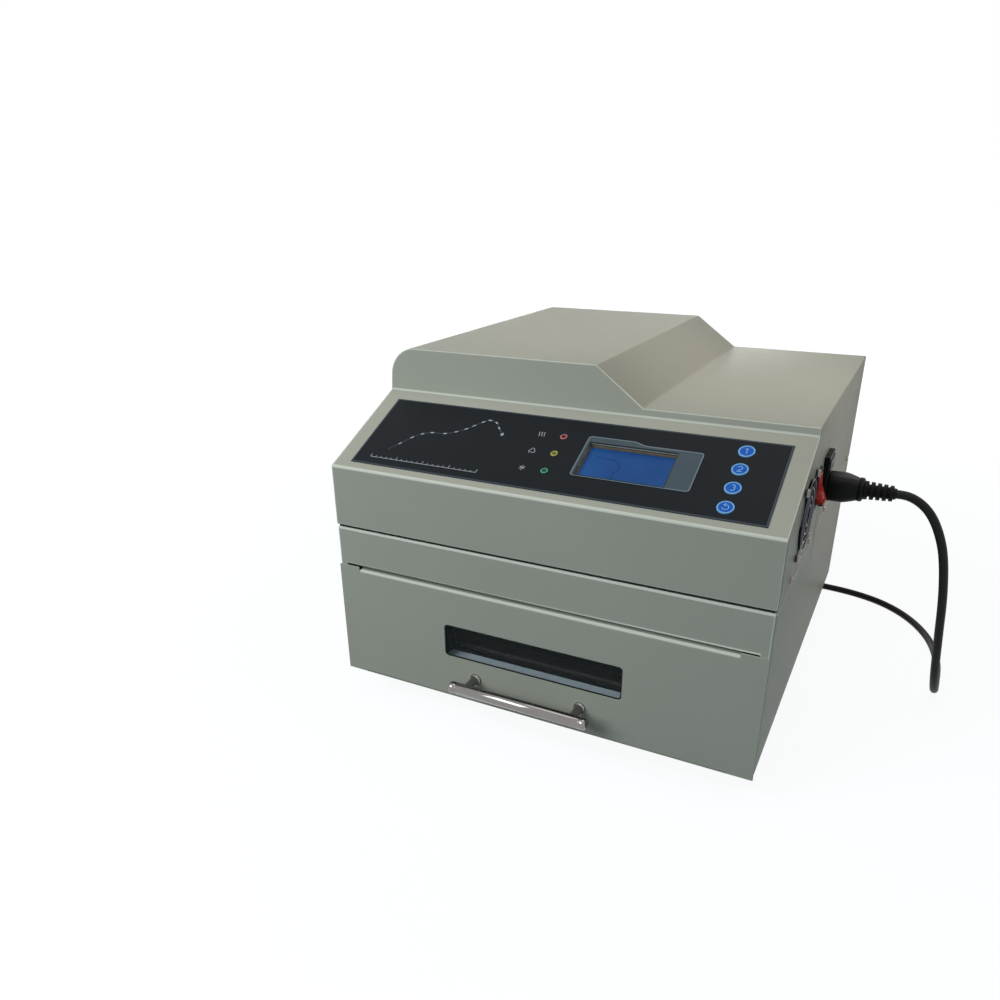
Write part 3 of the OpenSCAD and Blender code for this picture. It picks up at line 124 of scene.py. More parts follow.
# Handle
BAR_X, BAR_Y, BAR_Z = -3.0, -21.0, 51.0
BAR_R, BAR_L, POST_PITCH = 5.0, 124.0, 96.0
POST_FOOT_Y = -1.5
BAR_END = [(0, 2.4), (0.25, 3.6), (0.9, 4.6), (1.8, BAR_R), (5.6, BAR_R), (5.9, BAR_R - 0.35),
           (6.5, BAR_R - 0.35), (6.8, BAR_R)]
POST_PROFILE = [(0, 4.6), (0.15, 4.9), (1.1, 4.95), (1.6, 4.5), (2.4, 3.9), (4.0, 3.5),
                (9.0, 3.35), (14.0, 3.6), (16.5, 4.0), (19.5, 4.0)]

# Window in the drawer front
WINDOW_X, WINDOW_Z0, WINDOW_W, WINDOW_H, WINDOW_R = -0.5, 67.5, 160.0, 30.0, 3.5
GLASS_Y = -0.3
SEAL_W = 1.1
TUNNEL_STEP = 3.0            # the tunnel behind the glass is this much wider than the window
TUNNEL_BARE = 0.66           # share of its depth in front of the gasket
GASKET_W, GASKET_GAP, GASKET_PROUD = 1.0, 0.04, 0.8

# Side fan with its wire guard, and exhaust fan
FAN_Y, FAN_Z, FAN_SIZE, FAN_DEPTH, EXHAUST_SIZE = 77.0, 214.5, 60.0, 25.0, 80.0
FAN_HOLE_SHARE = 0.8333      # spacing of the screws as a share of the fan's size
GUARD_R, GUARD_RINGS, WIRE_R = 26.5, 4, 0.62
GUARD_RING_OUT, GUARD_BAR_OUT, GUARD_LOOP_R = 1.6, 0.8, 2.4
HUB_SHARE, TIP_SHARE, TIP_GAP = 0.22, 0.475, 1.6
BLADES, SPAN_STEPS, CHORD_STEPS = 7, 7, 8
PITCH_AT_HUB, PITCH_FALL = 52, 20
CHORD_AT_HUB, CHORD_RISE = 0.24, 0.05
BLADE_ROOT, BLADE_SWEEP, BLADE_CAMBER, BLADE_HALF_T = 0.6, 0.30, 0.10, 0.55

# Rocker switch
SWITCH_Y, SWITCH_Z = 118.5, 221.0
ROCKER_X = HALF_W - 2
ROCKER_TILT = math.radians(15)
ROCKER_OUT, ROCKER_HALF, ROCKER_DIP = 7.5, 11.2, 1.8
MARK_LOW, MARK_HIGH = -0.05, 0.06

# Connector in its inlet. A section is half its width, half its height and its corner radius.
INLET_Y, SOCKET_Z = 165.0, 211.0
INLET_PROUD, NOSE_L, SEAT_GAP = 4.5, 17, 0.3
CONNECTOR_X = HALF_W + (INLET_PROUD + SEAT_GAP)
CONNECTOR_L = 51.2
NOSE = (12.0, 8.0, 2.5)
NOSE_TIP = (11.9, 7.9, 2.4)
CONNECTOR_BODY = [(0, 12.9, 9.9, 6.4), (0.35, 13.35, 10.3, 6.8), (1.0, 13.5, 10.5, 7.0),
                  (12, 13.5, 10.5, 7.0), (15, 13.0, 10.2, 7.4), (18, 12.0, 9.6, 7.6),
                  (21, 10.8, 8.9, 7.4), (23, 10.0, 8.4, 7.2)]
COLLAR_X = 23.0
COLLAR = [(0, 8.6), (0.2, 9.5), (0.7, 9.8), (3.1, 9.5), (3.7, 9.1), (4.0, 8.2)]
RIBS, RIB_START, RIB_PITCH, RIB_R, RIB_TAPER = 5, 4.0, 4.7, 7.6, 0.3

# Mains lead, and its route from the connector to the coil
CORD_D = 7.0
LEAD_ROUTE = [
    (242, 165, 211), (250, 165, 210.6), (259, 165, 207), (268, 166, 199), (276, 168, 186),
    (283, 171, 168), (288, 175, 146), (292, 180, 120), (295, 186, 92), (298, 193, 64),
    (301, 202, 38), (304, 216, 18), (306, 236, 7), (307, 260, 3.6), (307, 286, 3.6),
    (304, 314, 3.6), (297, 342, 3.6), (285, 368, 3.6), (268, 391, 3.6), (246, 409, 3.6),
    (220, 420, 3.6), (192, 425, 3.6), (162, 426.5, 3.6), (132, 426.5, 3.6), (102, 426.5, 3.6),
    (76, 426.5, 3.8), (52, 426.5, 4.4), (32, 426.5, 4.6), (22, 426.5, 4.6),
]

# Coil behind the case, its tie, and the plug at the lead's end
COIL_X, COIL_Y = 20.0, 466.0
COIL_IN_R, COIL_OUT_R = 32.5, 39.5
COIL_MIDDLE_R = (COIL_IN_R + COIL_OUT_R) / 2
COIL_LOW_Z = 4.6
COIL_TOP_Z = COIL_LOW_Z + 2 * CORD_D
COIL_STEPS = 48
COIL_CLIMB = 0.16            # share of a turn in which the lead passes to the next one
TAIL_END_X, TAIL_PARTS = 68.0, 8
TIE_T, TIE_HALF_W = 0.9, 2.5
PLUG_RIBS, PLUG_RIB_PITCH, PLUG_RIB_R, PLUG_RIB_RISE = 5, 4.8, 5.4, 0.5
PLUG_BODY = [(24, 8.8), (24.5, 9.6), (29, 10.4), (31.5, 12.2), (33.5, 16.5), (34.4, 18.0), (35.5, 18.5),
             (50, 18.5), (51, 18.2), (52, 17.3), (59.2, 17.3), (60, 16.6)]
PIN_PROFILE = [(59.5, 2.35), (70, 2.35), (70.2, 2.4), (77.2, 2.4), (78.4, 1.9), (79, 1.0)]
PIN_ASIDE = 9.5

ACROSS, BACKWARD = Vector((1, 0, 0)), Vector((0, 1, 0))
PANEL_UP = Vector((0, math.cos(SLOPE_ANGLE), math.sin(SLOPE_ANGLE)))
PANEL_OUT = Vector((0, -math.sin(SLOPE_ANGLE), math.cos(SLOPE_ANGLE)))


def at(x, y, z):
    """A point of the case, from millimetres to the shared frame."""
    return Vector((CASE_X + x * MM, FRONT_Y + y * MM, z * MM))


def on_panel(x, v, out=0.0):
    """A point on the slanted panel: x across, v up from its lower edge, out of its face."""
    return at(x, 0, SLOPE_Z) + (PANEL_UP * v + PANEL_OUT * out) * MM


def add_object(name, data):
    """A new object in the scene."""
    made = bpy.data.objects.new(name, data)
    bpy.context.scene.collection.objects.link(made)
    return made


def add_mesh(name, bm, material):
    """Turns a bmesh into an object."""
    mesh = bpy.data.meshes.new(name)
    bm.to_mesh(mesh)
    bm.free()
    mesh.materials.append(material)
    return add_object(name, mesh)


# ---- Camera ----

def make_camera():
    data = bpy.data.cameras.new("camera")
    data.sensor_width = CAMERA_SENSOR
    data.lens = CAMERA_LENS
    data.shift_x = CAMERA_SHIFT_X
    data.shift_y = CAMERA_SHIFT_Y
    camera = add_object("camera", data)
    camera.location = at(*CAMERA_PLACE)
    camera.rotation_euler = [math.radians(a) for a in CAMERA_TURN]
    bpy.context.scene.camera = camera


make_camera()


# ---- Meshes ----

def make_object(name, bm, body, slot, material, smooth=40):
    """A piece that rides on a body. Its edges over smooth degrees stay sharp."""
    bmesh.ops.recalc_face_normals(bm, faces=bm.faces)
    piece = add_mesh(name, bm, material)
    piece.data.shade_smooth()
    piece.data.set_sharp_from_angle(angle=math.radians(smooth))
    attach(piece, body)
    return piece


def circle(centre, side, other, radius, steps):
    """Points round a centre, in the plane of two directions."""
    turn = [TAU * i / steps for i in range(steps)]
    return [centre + (side * math.cos(a) + other * math.sin(a)) * radius * MM for a in turn]


def neighbours(points, i, closed):
    """The points beside point i, or that point itself at an open end."""
    before = points[i - 1] if closed or i else points[i]
    after = points[(i + 1) % len(points)] if closed or i < len(points) - 1 else points[i]
    return before, after


def add_rings(bm, rings, closed=False):
    """Joins rings of points, each as long as the next, into a closed skin."""
    loops = [[bm.verts.new(p) for p in ring] for ring in rings]
    for a, b in zip(loops, loops[1:] + (loops[:1] if closed else [])):
        for i in range(len(a)):
            bm.faces.new((a[i - 1], a[i], b[i], b[i - 1]))
    if not closed:
        bm.faces.new(reversed(loops[0]))
        bm.faces.new(loops[-1])


def add_lathe(bm, origin, along, profile, steps=40, aside=None, closed=False):
    """Adds a turned body, or a turned ring where the profile is closed."""
    along = along.normalized()
    side = aside or along.orthogonal().normalized()
    other = along.cross(side)
    rings = [circle(origin + along * d * MM, side, other, radius, steps) for d, radius in profile]
    add_rings(bm, rings, closed)


def add_tube(bm, points, radius, sides=10, closed=False):
    """Adds a round wire or cord along points, which are in the shared frame."""
    rings = []
    side = None
    for i, point in enumerate(points):
        before, after = neighbours(points, i, closed)
        direction = (after - before).normalized()
        side = direction.orthogonal() if side is None else side - direction * side.dot(direction)
        side.normalize()
        rings.append(circle(point, side, direction.cross(side), radius, sides))
    add_rings(bm, rings, closed)


def add_plate(bm, outline, place, low, high):
    """Adds a flat plate. The function place gives the point at u, v and a height."""
    add_rings(bm, [[place(u, v, height) for u, v in outline] for height in (low, high)])


def add_frame(bm, outer, inner, place, low, high):
    """Adds a flat frame between two outlines that have as many points."""
    section = ((outer, low), (outer, high), (inner, high), (inner, low))
    add_rings(bm, [[place(u, v, height) for u, v in outline] for outline, height in section], True)


def stroke(points, width, closed=False):
    """Left and right sides of a drawn line, as two lists of points."""
    left, right = [], []
    for i, (u, v) in enumerate(points):
        before, after = neighbours(points, i, closed)
        du, dv = after[0] - before[0], after[1] - before[1]
        size = math.hypot(du, dv)
        du, dv = du / size * width / 2, dv / size * width / 2
        left.append((u - dv, v + du))
        right.append((u + dv, v - du))
    return left, right


def add_line(bm, points, width, place, low, high):
    """Adds an open drawn line."""
    left, right = stroke(points, width)
    add_plate(bm, left + right[::-1], place, low, high)


def add_loop(bm, points, width, place, low, high):
    """Adds a closed drawn line."""
    left, right = stroke(points, width, closed=True)
    add_frame(bm, left, right, place, low, high)


def add_plate_with_hole(bm, outline, hole, place, low, high):
    """Adds a flat plate to an empty bmesh, with one hole in it."""
    edges = []
    for loop in (outline, hole):
        verts = [bm.verts.new(place(u, v, low)) for u, v in loop]
        edges += [bm.edges.new((verts[i - 1], verts[i])) for i in range(len(verts))]
    bmesh.ops.triangle_fill(bm, use_beauty=True, edges=edges)
    raised = bmesh.ops.extrude_face_region(bm, geom=bm.faces[:])["geom"]
    way = place(0, 0, high) - place(0, 0, low)
    bmesh.ops.translate(bm, vec=way, verts=[g for g in raised if isinstance(g, bmesh.types.BMVert)])


def arc(u, v, radius, start, end, steps):
    """Points of an arc, with its angles in degrees."""
    turn = [math.radians(start + (end - start) * i / steps) for i in range(steps + 1)]
    return [(u + radius * math.cos(a), v + radius * math.sin(a)) for a in turn]


def round_box(u0, v0, u1, v1, radius, steps=6):
    """Outline of a rectangle with round corners."""
    corners = ((u1, v1, 0), (u0, v1, 90), (u0, v0, 180), (u1, v0, 270))
    points = []
    for u, v, start in corners:
        cu = u - radius if u == u1 else u + radius
        cv = v - radius if v == v1 else v + radius
        points += arc(cu, cv, radius, start, start + 90, steps)
    return points


def soft_corners(points, radius, steps=5):
    """An outline with its corners rounded."""
    soft = []
    for i, point in enumerate(points):
        before, after = neighbours(points, i, True)
        corner = Vector(point)
        start = corner + (Vector(before) - corner).normalized() * radius
        end = corner + (Vector(after) - corner).normalized() * radius
        for k in range(steps + 1):
            t = k / steps
            soft.append(start * (1 - t) ** 2 + corner * 2 * t * (1 - t) + end * t ** 2)
    return soft


def smooth_line(points, rounds=3):
    """A smooth curve through points."""
    for _ in range(rounds):
        finer = [points[0]]
        for i in range(len(points) - 1):
            a, b = points[max(i - 1, 0)], points[i]
            c, d = points[i + 1], points[min(i + 2, len(points) - 1)]
            finer += [(b + c) * 9 / 16 - (a + d) / 16, c]
        points = finer
    return points


# ---- Materials ----

CLOUD_LOW, CLOUD_HIGH = 0.3, 0.7     # range that a noise texture mostly fills


class Nodes:
    """Makes and links the nodes of one tree."""

    def __init__(self, tree):
        self.tree = tree

    def node(self, kind, **settings):
        made = self.tree.nodes.new(kind)
        for key, value in settings.items():
            setattr(made, key, value)
        return made

    def link(self, a, b):
        self.tree.links.new(a, b)

    def between(self, source, low, high, start=CLOUD_LOW, end=CLOUD_HIGH):
        """A value from low to high as the source goes from start to end."""
        scale = self.node("ShaderNodeMapRange")
        for socket, value in (("From Min", start), ("From Max", end), ("To Min", low), ("To Max", high)):
            scale.inputs[socket].default_value = value
        self.link(source, scale.inputs["Value"])
        return scale.outputs["Result"]

    def ramp(self, source, stops):
        """Colours at two positions, and between them."""
        ramp = self.node("ShaderNodeValToRGB")
        for point, (position, color) in zip(ramp.color_ramp.elements, stops):
            point.position = position
            point.color = color
        self.link(source, ramp.inputs["Fac"])
        return ramp.outputs["Color"]


class Finish(Nodes):
    """A procedural material with a colour, a roughness and a bump that vary over the surface."""

    def __init__(self, name):
        self.material = bpy.data.materials.new(name)
        self.material.use_nodes = True
        super().__init__(self.material.node_tree)
        self.shader = self.tree.nodes["Principled BSDF"]
        self.coordinates = self.node("ShaderNodeTexCoord").outputs["Object"]

    def set(self, **values):
        """Sets the shader's own sockets, with _ for a space in their names."""
        for key, value in values.items():
            self.shader.inputs[key.replace("_", " ")].default_value = value

    def noise(self, scale, detail=2.0, stretch=(1, 1, 1)):
        mapping = self.node("ShaderNodeMapping")
        mapping.inputs["Scale"].default_value = stretch
        self.link(self.coordinates, mapping.inputs["Vector"])
        texture = self.node("ShaderNodeTexNoise")
        texture.inputs["Scale"].default_value = scale
        texture.inputs["Detail"].default_value = detail
        self.link(mapping.outputs["Vector"], texture.inputs["Vector"])
        return texture.outputs["Fac"]

    def color(self, source, dark, light):
        """Sets the base colour, and gives it for other uses."""
        color = self.ramp(source, [(CLOUD_LOW, dark), (CLOUD_HIGH, light)])
        self.link(color, self.shader.inputs["Base Color"])
        return color

    def roughness(self, source, low, high):
        self.link(self.between(source, low, high), self.shader.inputs["Roughness"])

    def bump(self, source, depth):
        """Adds a bump whose depth is in millimetres."""
        bump = self.node("ShaderNodeBump")
        bump.inputs["Distance"].default_value = depth * MM
        self.link(source, bump.inputs["Height"])
        before = self.shader.inputs["Normal"].links
        if before:
            self.link(before[0].from_socket, bump.inputs["Normal"])
        self.link(bump.outputs["Normal"], self.shader.inputs["Normal"])


def linear(rgb):
    """Linear colour of an sRGB colour with channels from 0 to 255."""
    share = [c / 255 for c in rgb]
    return [c / 12.92 if c <= 0.04045 else ((c + 0.055) / 1.055) ** 2.4 for c in share] + [1.0]


def shade(color, factor):
    """A linear colour made lighter or darker."""
    return [min(1.0, c * factor) for c in color[:3]] + [1.0]


def surface(name, rgb, rough, metallic, spread, scale, grain, depth, stretch=(1, 1, 1), specular=0.5):
    """A surface whose colour varies by the share spread, in clouds of one noise scale.

    Its roughness and a bump of depth millimetres follow a finer noise of the scale grain."""
    finish = Finish(name)
    finish.set(Metallic=metallic, Specular_IOR_Level=specular)
    color = linear(rgb)
    finish.color(finish.noise(scale, 4, stretch), shade(color, 1 - spread), shade(color, 1 + spread))
    fine = finish.noise(grain, 2, stretch)
    finish.roughness(fine, rough * 0.85, rough * 1.15)
    finish.bump(fine, depth)
    return finish.material


def make_paint(name, rgb):
    """Fine-textured powder coat on sheet steel."""
    finish = Finish(name)
    finish.set(IOR=1.48, Specular_IOR_Level=0.04)
    color = linear(rgb)
    finish.color(finish.noise(7, 5), shade(color, 0.975), shade(color, 1.02))
    finish.roughness(finish.noise(60, 3), 0.40, 0.47)
    finish.bump(finish.noise(420), 0.010)
    finish.bump(finish.noise(1500), 0.006)
    return finish.material


def clear(name, rgb, rough, dark, light, **values):
    """Glass or film, with a colour between two shades of one."""
    finish = Finish(name)
    finish.set(**values)
    color = linear(rgb)
    finish.color(finish.noise(30), shade(color, dark), shade(color, light))
    finish.roughness(finish.noise(300), rough * 0.7, rough * 1.3)
    return finish


def make_pane(name, rgb, rough, cover):
    """A thin clear sheet, which hides the share cover of what is behind it."""
    finish = clear(name, rgb, rough, 0.96, 1.04, Specular_IOR_Level=0.3)
    clouds = finish.between(finish.noise(12), cover * 0.94, cover * 1.06)
    finish.link(clouds, finish.shader.inputs["Alpha"])
    return finish.material


def make_screen():
    """Blue display, lit from its edge and a little uneven."""
    finish = Finish("display_screen")
    glow = finish.color(finish.noise(14), linear((22, 62, 117)), linear((30, 79, 140)))
    finish.link(glow, finish.shader.inputs["Emission Color"])
    finish.set(Emission_Strength=0.35, Specular_IOR_Level=0.1)
    finish.roughness(finish.noise(500), 0.3, 0.4)
    return finish.material


def lamp_plastics(part, **colors):
    """Materials of one part of the lamps, by the lamps' nodes."""
    return {"lamp_" + color: surface(part + "_" + color, rgb, 0.3, 0.0, 0.12, 900, 2500, 0.01, specular=0.15)
            for color, rgb in colors.items()}


PAINT = make_paint("powder_coat", (173, 172, 160))
# Lighter coat on the rounded folds: a painted highlight along the bends.
PAINT_FOLD_HIGHLIGHT = make_paint("powder_coat_painted_highlight", (214, 214, 203))
# Dark coat for the stepped flange in the seam under the hood: painted shade.
PAINTED_FLANGE_SHADE = make_paint("painted_flange_shade", (46, 47, 44))
QUARTZ = clear("quartz_tube", (236, 230, 222), 0.35, 0.97, 1.0, Transmission_Weight=1.0, IOR=1.5).material
STEEL = surface("brushed_stainless", (176, 177, 176), 0.34, 1.0, 0.05, 60, 1400, 0.01, stretch=(0.06, 1, 1))
SCREW = surface("screw_plate", (118, 112, 106), 0.26, 1.0, 0.08, 300, 1500, 0.01)
# Near-white copy of the tunnel sheet for the inner panel and the tunnel's sill: painted light.
INNER_PAINTED_LIGHT = surface("aluminised_sheet_painted_light", (222, 236, 246), 0.5, 0.0, 0.06, 90, 1200, 0.01)
# Dark copy of the tunnel sheet for the tunnel's sides: painted shade.
PAINTED_TUNNEL_SHADE = surface("tunnel_sheet_painted_shade", (58, 64, 68), 0.5, 0.0, 0.2, 160, 1200, 0.01)
SEAL = surface("window_seal", (16, 18, 19), 0.6, 0.0, 0.12, 200, 1500, 0.02, specular=0.15)
OVERLAY = surface("overlay_black", (29, 32, 36), 0.42, 0.0, 0.06, 50, 2200, 0.004, specular=0.06)
PRINT_EDGE = surface("print_blue_grey", (60, 70, 78), 0.36, 0.0, 0.05, 60, 2000, 0.003, specular=0.1)
PRINT_PALE = surface("print_pale", (168, 172, 176), 0.4, 0.0, 0.06, 200, 2000, 0.003, specular=0.1)
SURROUND = surface("display_surround_grey", (74, 86, 94), 0.4, 0.0, 0.05, 60, 2000, 0.003, specular=0.08)
SURROUND_EDGE = surface("print_light_grey", (116, 130, 138), 0.4, 0.0, 0.05, 60, 2000, 0.003, specular=0.1)
SCREEN_FRAME = surface("screen_frame", (124, 108, 92), 0.5, 0.0, 0.12, 200, 1500, 0.01, specular=0.1)
TRACE = surface("display_trace", (24, 54, 108), 0.4, 0.0, 0.05, 200, 1500, 0.003, specular=0.05)
KEY_RING = surface("key_ring_blue", (118, 176, 226), 0.3, 0.0, 0.05, 300, 1800, 0.01, specular=0.15)
BLACK = surface("moulded_black", (17, 18, 18), 0.42, 0.0, 0.18, 120, 1600, 0.03, specular=0.09)
GUARD = surface("guard_wire", (60, 60, 66), 0.28, 1.0, 0.08, 300, 1500, 0.01)
MARK = surface("mark_white", (214, 214, 210), 0.4, 0.0, 0.04, 200, 1500, 0.01)
CORD = surface("cord_black", (19, 19, 20), 0.48, 0.0, 0.2, 60, 1300, 0.04, specular=0.16)
LENS = lamp_plastics("lens", green=(14, 84, 64), yellow=(118, 108, 18), red=(100, 10, 24))
BEZEL = lamp_plastics("bezel", green=(86, 164, 130), yellow=(178, 176, 92), red=(192, 118, 122))

# Materials of the CAD nodes by slot, then of the nodes that differ from their slot
MATERIAL_OF_SLOT = {
    "painted_sheet": PAINT,
    "plain_steel": surface("zinc_plate", (166, 170, 172), 0.36, 1.0, 0.10, 130, 600, 0.01),
    "stainless": STEEL,
    "fasteners": SCREW,
    "foot_rubber": surface("foot_rubber", (28, 28, 29), 0.8, 0.0, 0.15, 90, 1800, 0.05),
    "handle_chrome": surface("handle_chrome", (134, 130, 128), 0.14, 1.0, 0.04, 80, 500, 0.004),
    "window_glass": make_pane("window_glass", (62, 69, 68), 0.06, 0.12),
    "mineral_board": surface("mineral_board", (214, 208, 192), 0.95, 0.0, 0.10, 120, 700, 0.25),
    "quartz": QUARTZ,
    "ceramic": surface("ceramic", (222, 216, 200), 0.35, 0.0, 0.04, 90, 900, 0.02),
    "motor_iron": surface("motor_iron", (62, 64, 67), 0.5, 0.6, 0.12, 90, 900, 0.04),
    "aluminium": surface("aluminium", (190, 192, 194), 0.38, 1.0, 0.05, 90, 1200, 0.01, stretch=(1, 0.08, 1)),
    "board_green": surface("board_green", (24, 84, 52), 0.4, 0.0, 0.25, 260, 900, 0.05),
    "clear_film": make_pane("clear_film", (60, 72, 86), 0.16, 0.03),
    "overlay_black": OVERLAY,
    "display_grey": SURROUND,
    "display_blue": BLACK,
    "key_blue": surface("key_blue", (14, 88, 186), 0.3, 0.0, 0.08, 300, 1800, 0.01, specular=0.12),
    "moulded_black": BLACK,
    "fan_black": surface("fan_black", (20, 20, 22), 0.36, 0.0, 0.15, 120, 1500, 0.02, specular=0.2),
    "switch_red": surface("rocker_red", (206, 24, 14), 0.28, 0.0, 0.12, 140, 1500, 0.01, specular=0.3),
    "cord_black": CORD,
    **LENS,
}
SLOT_OF = {s["node"]: s["material_slot"] for s in frame["record"]["subparts"]}
MATERIAL_OF = {node: MATERIAL_OF_SLOT[slot] for node, slot in SLOT_OF.items()}
MATERIAL_OF.update(side_fan_guard=GUARD, thermocouple=STEEL, circulation_shaft=STEEL)
# The inner panel gets the near-white sheet, which is painted light.
MATERIAL_OF["drawer_inner_panel"] = INNER_PAINTED_LIGHT
BODY_OF = {n: b for b, members in frame["record"]["behaviour"]["bodies"].items() for n in members}


def paint_nodes():
    for name, material in MATERIAL_OF.items():
        slots = frame["nodes"][name].data.materials
        if not slots:
            slots.append(material)
        for i in range(len(slots)):
            slots[i] = material


paint_nodes()


# ---- Mains lead ----

def coil_points():
    """Four and a half turns: two side by side, two on top of them, and half a turn on those."""
    upper_z = COIL_LOW_Z + CORD_D
    levels = [(COIL_OUT_R, COIL_LOW_Z), (COIL_IN_R, COIL_LOW_Z), (COIL_IN_R, upper_z),
              (COIL_OUT_R, upper_z), (COIL_MIDDLE_R, upper_z + CORD_D)]
    last = len(levels) - 1
    points = []
    for turn, (radius, z) in enumerate(levels):
        next_radius, next_z = levels[min(turn + 1, last)]
        for i in range(COIL_STEPS if turn < last else COIL_STEPS // 2):
            blend = max(0.0, (i / COIL_STEPS - (1 - COIL_CLIMB)) / COIL_CLIMB)
            blend = blend * blend * (3 - 2 * blend)
            r, height = radius + (next_radius - radius) * blend, z + (next_z - z) * blend
            angle = math.radians(270) - TAU * i / COIL_STEPS
            points.append(at(COIL_X + r * math.cos(angle), COIL_Y + r * math.sin(angle), height))
    return points


def make_lead():
    """The lead from the connector to the plug, and the points that it follows."""
    lead = smooth_line([at(*p) for p in LEAD_ROUTE])
    xs = [COIL_X + (TAIL_END_X - COIL_X) * i / TAIL_PARTS for i in range(TAIL_PARTS + 1)]
    tail = [at(x, COIL_Y + COIL_MIDDLE_R, COIL_TOP_Z) for x in xs]
    path = lead[:-1] + coil_points() + tail
    bm = bmesh.new()
    add_tube(bm, path, CORD_D / 2, 16)
    cord = make_object("mains_lead", bm, "root", "cord_black", CORD, 60)
    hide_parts("mains_cord", "cord_coil")
    return cord, path


lead_piece, lead_path = make_lead()


# ---- Pieces that keep the CAD shape, with their edges rounded ----

def make_stand_in(name, node, bm, smooth=40):
    """A piece that stands for a node, with its body and material."""
    piece = make_object(name, bm, BODY_OF[node], SLOT_OF[node], MATERIAL_OF[node], smooth)
    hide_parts(node)
    return piece


def weigh_edges(bm, width, bend):
    """Marks the folds that get the radius bend, and the other convex edges that get width."""
    layer = bm.edges.layers.float.new("bevel_weight_edge")
    for edge in bm.edges:
        if len(edge.link_faces) != 2:
            continue
        angle = edge.calc_face_angle_signed(0)
        wide = min(2 * face.calc_area() / face.calc_perimeter() for face in edge.link_faces)
        least = FOLD_FACE if angle > 0 else HOLLOW_FACE
        if bend and abs(angle) > FOLD_ANGLE and wide > least and edge.calc_length() > FOLD_LENGTH:
            edge[layer] = 1.0
        elif angle > FOLD_ANGLE:
            edge[layer] = width / (bend or width)


def rounded_copy(name, width, bend=None, segments=2, folds=None, shape=None):
    """A copy of a node with rounded edges, which stands for the node.

    Long folds get the radius bend, and all other convex edges get width. The rounded strips get
    the material folds, a lighter coat that is a painted highlight, and shape may move points of the copy
    first."""
    bm = bmesh.new()
    bm.from_mesh(frame["nodes"][name].data)
    bmesh.ops.remove_doubles(bm, verts=bm.verts, dist=2e-6)
    bmesh.ops.dissolve_limit(bm, angle_limit=math.radians(0.8), verts=bm.verts, edges=bm.edges)
    if shape:
        shape(bm)
    weigh_edges(bm, width, bend)
    piece = make_stand_in(name + "_finished", name, bm, 30)
    bevel = piece.modifiers.new("rounding", "BEVEL")
    bevel.width = (bend or width) * MM
    bevel.segments = 4 if bend else segments
    bevel.use_clamp_overlap = False
    bevel.limit_method = "WEIGHT"
    bevel.miter_outer = "MITER_SHARP"
    bevel.harden_normals = True
    # The rounded strips get the lighter coat, a painted highlight.
    if folds:
        piece.data.materials.append(folds)
        bevel.material = 1
    return piece


def trim_ears(bm):
    """Lifts the lower edges of the drawer front's ears."""
    lowest = min(vert.co.z for vert in bm.verts)
    for vert in bm.verts:
        if vert.co.z - lowest < 0.05 * MM:
            vert.co.z += EAR_LIFT * MM


def paint_upper_bend_highlight(piece):
    """Painted highlight: a lighter coat on the bend along the drawer front's upper edge, on faces turned up
    and forward.
    """
    piece.data.materials.append(PAINT_FOLD_HIGHLIGHT)
    heights = [vert.co.z for vert in piece.data.vertices]
    middle = (min(heights) + max(heights)) / 2
    for face in piece.data.polygons:
        # Faces of the upper bend that turn up and forward get the painted highlight.
        if face.normal.y < -0.2 and face.normal.z > 0.4 and face.center.z > middle:
            face.material_index = 1


def paint_flange_shade(piece):
    """Painted shade: the stepped flange in the seam under the hood's lower edge is coloured dark where the
    hood's overhang shades it.
    """
    piece.data.materials.append(PAINTED_FLANGE_SHADE)
    cover_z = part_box("front_hood")[0].z
    for face in piece.data.polygons:
        # Upright faces of the flange near the hood's lower edge get the painted shade.
        if face.center.z > cover_z - 2 * MM and abs(face.normal.z) < 0.5:
            face.material_index = 2


def make_case():
    rounded_copy("top_cover", 0.3, 1.3)
    # The folds of the hood and the chassis get the painted highlight, and the chassis's flange gets the
    # painted shade.
    rounded_copy("front_hood", 0.9, 1.6, folds=PAINT_FOLD_HIGHLIGHT)
    paint_flange_shade(rounded_copy("lower_chassis", 0.3, 1.9, folds=PAINT_FOLD_HIGHLIGHT))
    rounded_copy("rear_panel", 0.25)
    rounded_copy("base_pan", 0.25, 1.0)
    paint_upper_bend_highlight(rounded_copy("drawer_front", 0.3, shape=trim_ears))
    rounded_copy("case_screws", 0.2)
    rounded_copy("feet", 0.8)


make_case()


# ---- Control panel ----

def print_piece(name, bm, material, slot="overlay_black"):
    return make_object(name, bm, "root", slot, material)


def make_overlay():
    """The overlay and the line round its edge."""
    rounded_copy("panel_overlay", 0.12)

    def corners(inset):
        u, low, high = OVERLAY_W / 2 - inset, OVERLAY_V + inset, OVERLAY_V + OVERLAY_H - inset
        return [(-u, low), (u, low), (u, high), (-u, high)]

    bm = bmesh.new()
    add_frame(bm, corners(BORDER_OUT), corners(BORDER_IN), on_panel, INK_LOW, INK_HIGH)
    print_piece("overlay_border", bm, PRINT_EDGE)


def make_curve():
    """The curve, with a pale dash at each of its points and a mark at its end."""
    bm = bmesh.new()
    add_line(bm, smooth_line(CURVE, 2), CURVE_LINE, on_panel, INK_LOW, INK_HIGH)
    print_piece("curve_line", bm, PRINT_EDGE)
    bm = bmesh.new()
    high = INK_HIGH + 3 * INK_STEP
    for i in range(1, len(CURVE) - 1):
        a, middle, b = CURVE[i - 1:i + 2]
        way = (b - a).normalized() * CURVE_DASH_HALF
        add_line(bm, [middle - way, middle, middle + way], CURVE_DASH, on_panel, INK_LOW, high)
    mark = [CURVE[-1] + Vector(p) for p in CURVE_END]
    add_plate(bm, mark, on_panel, INK_LOW, high)
    print_piece("curve_points", bm, PRINT_PALE)


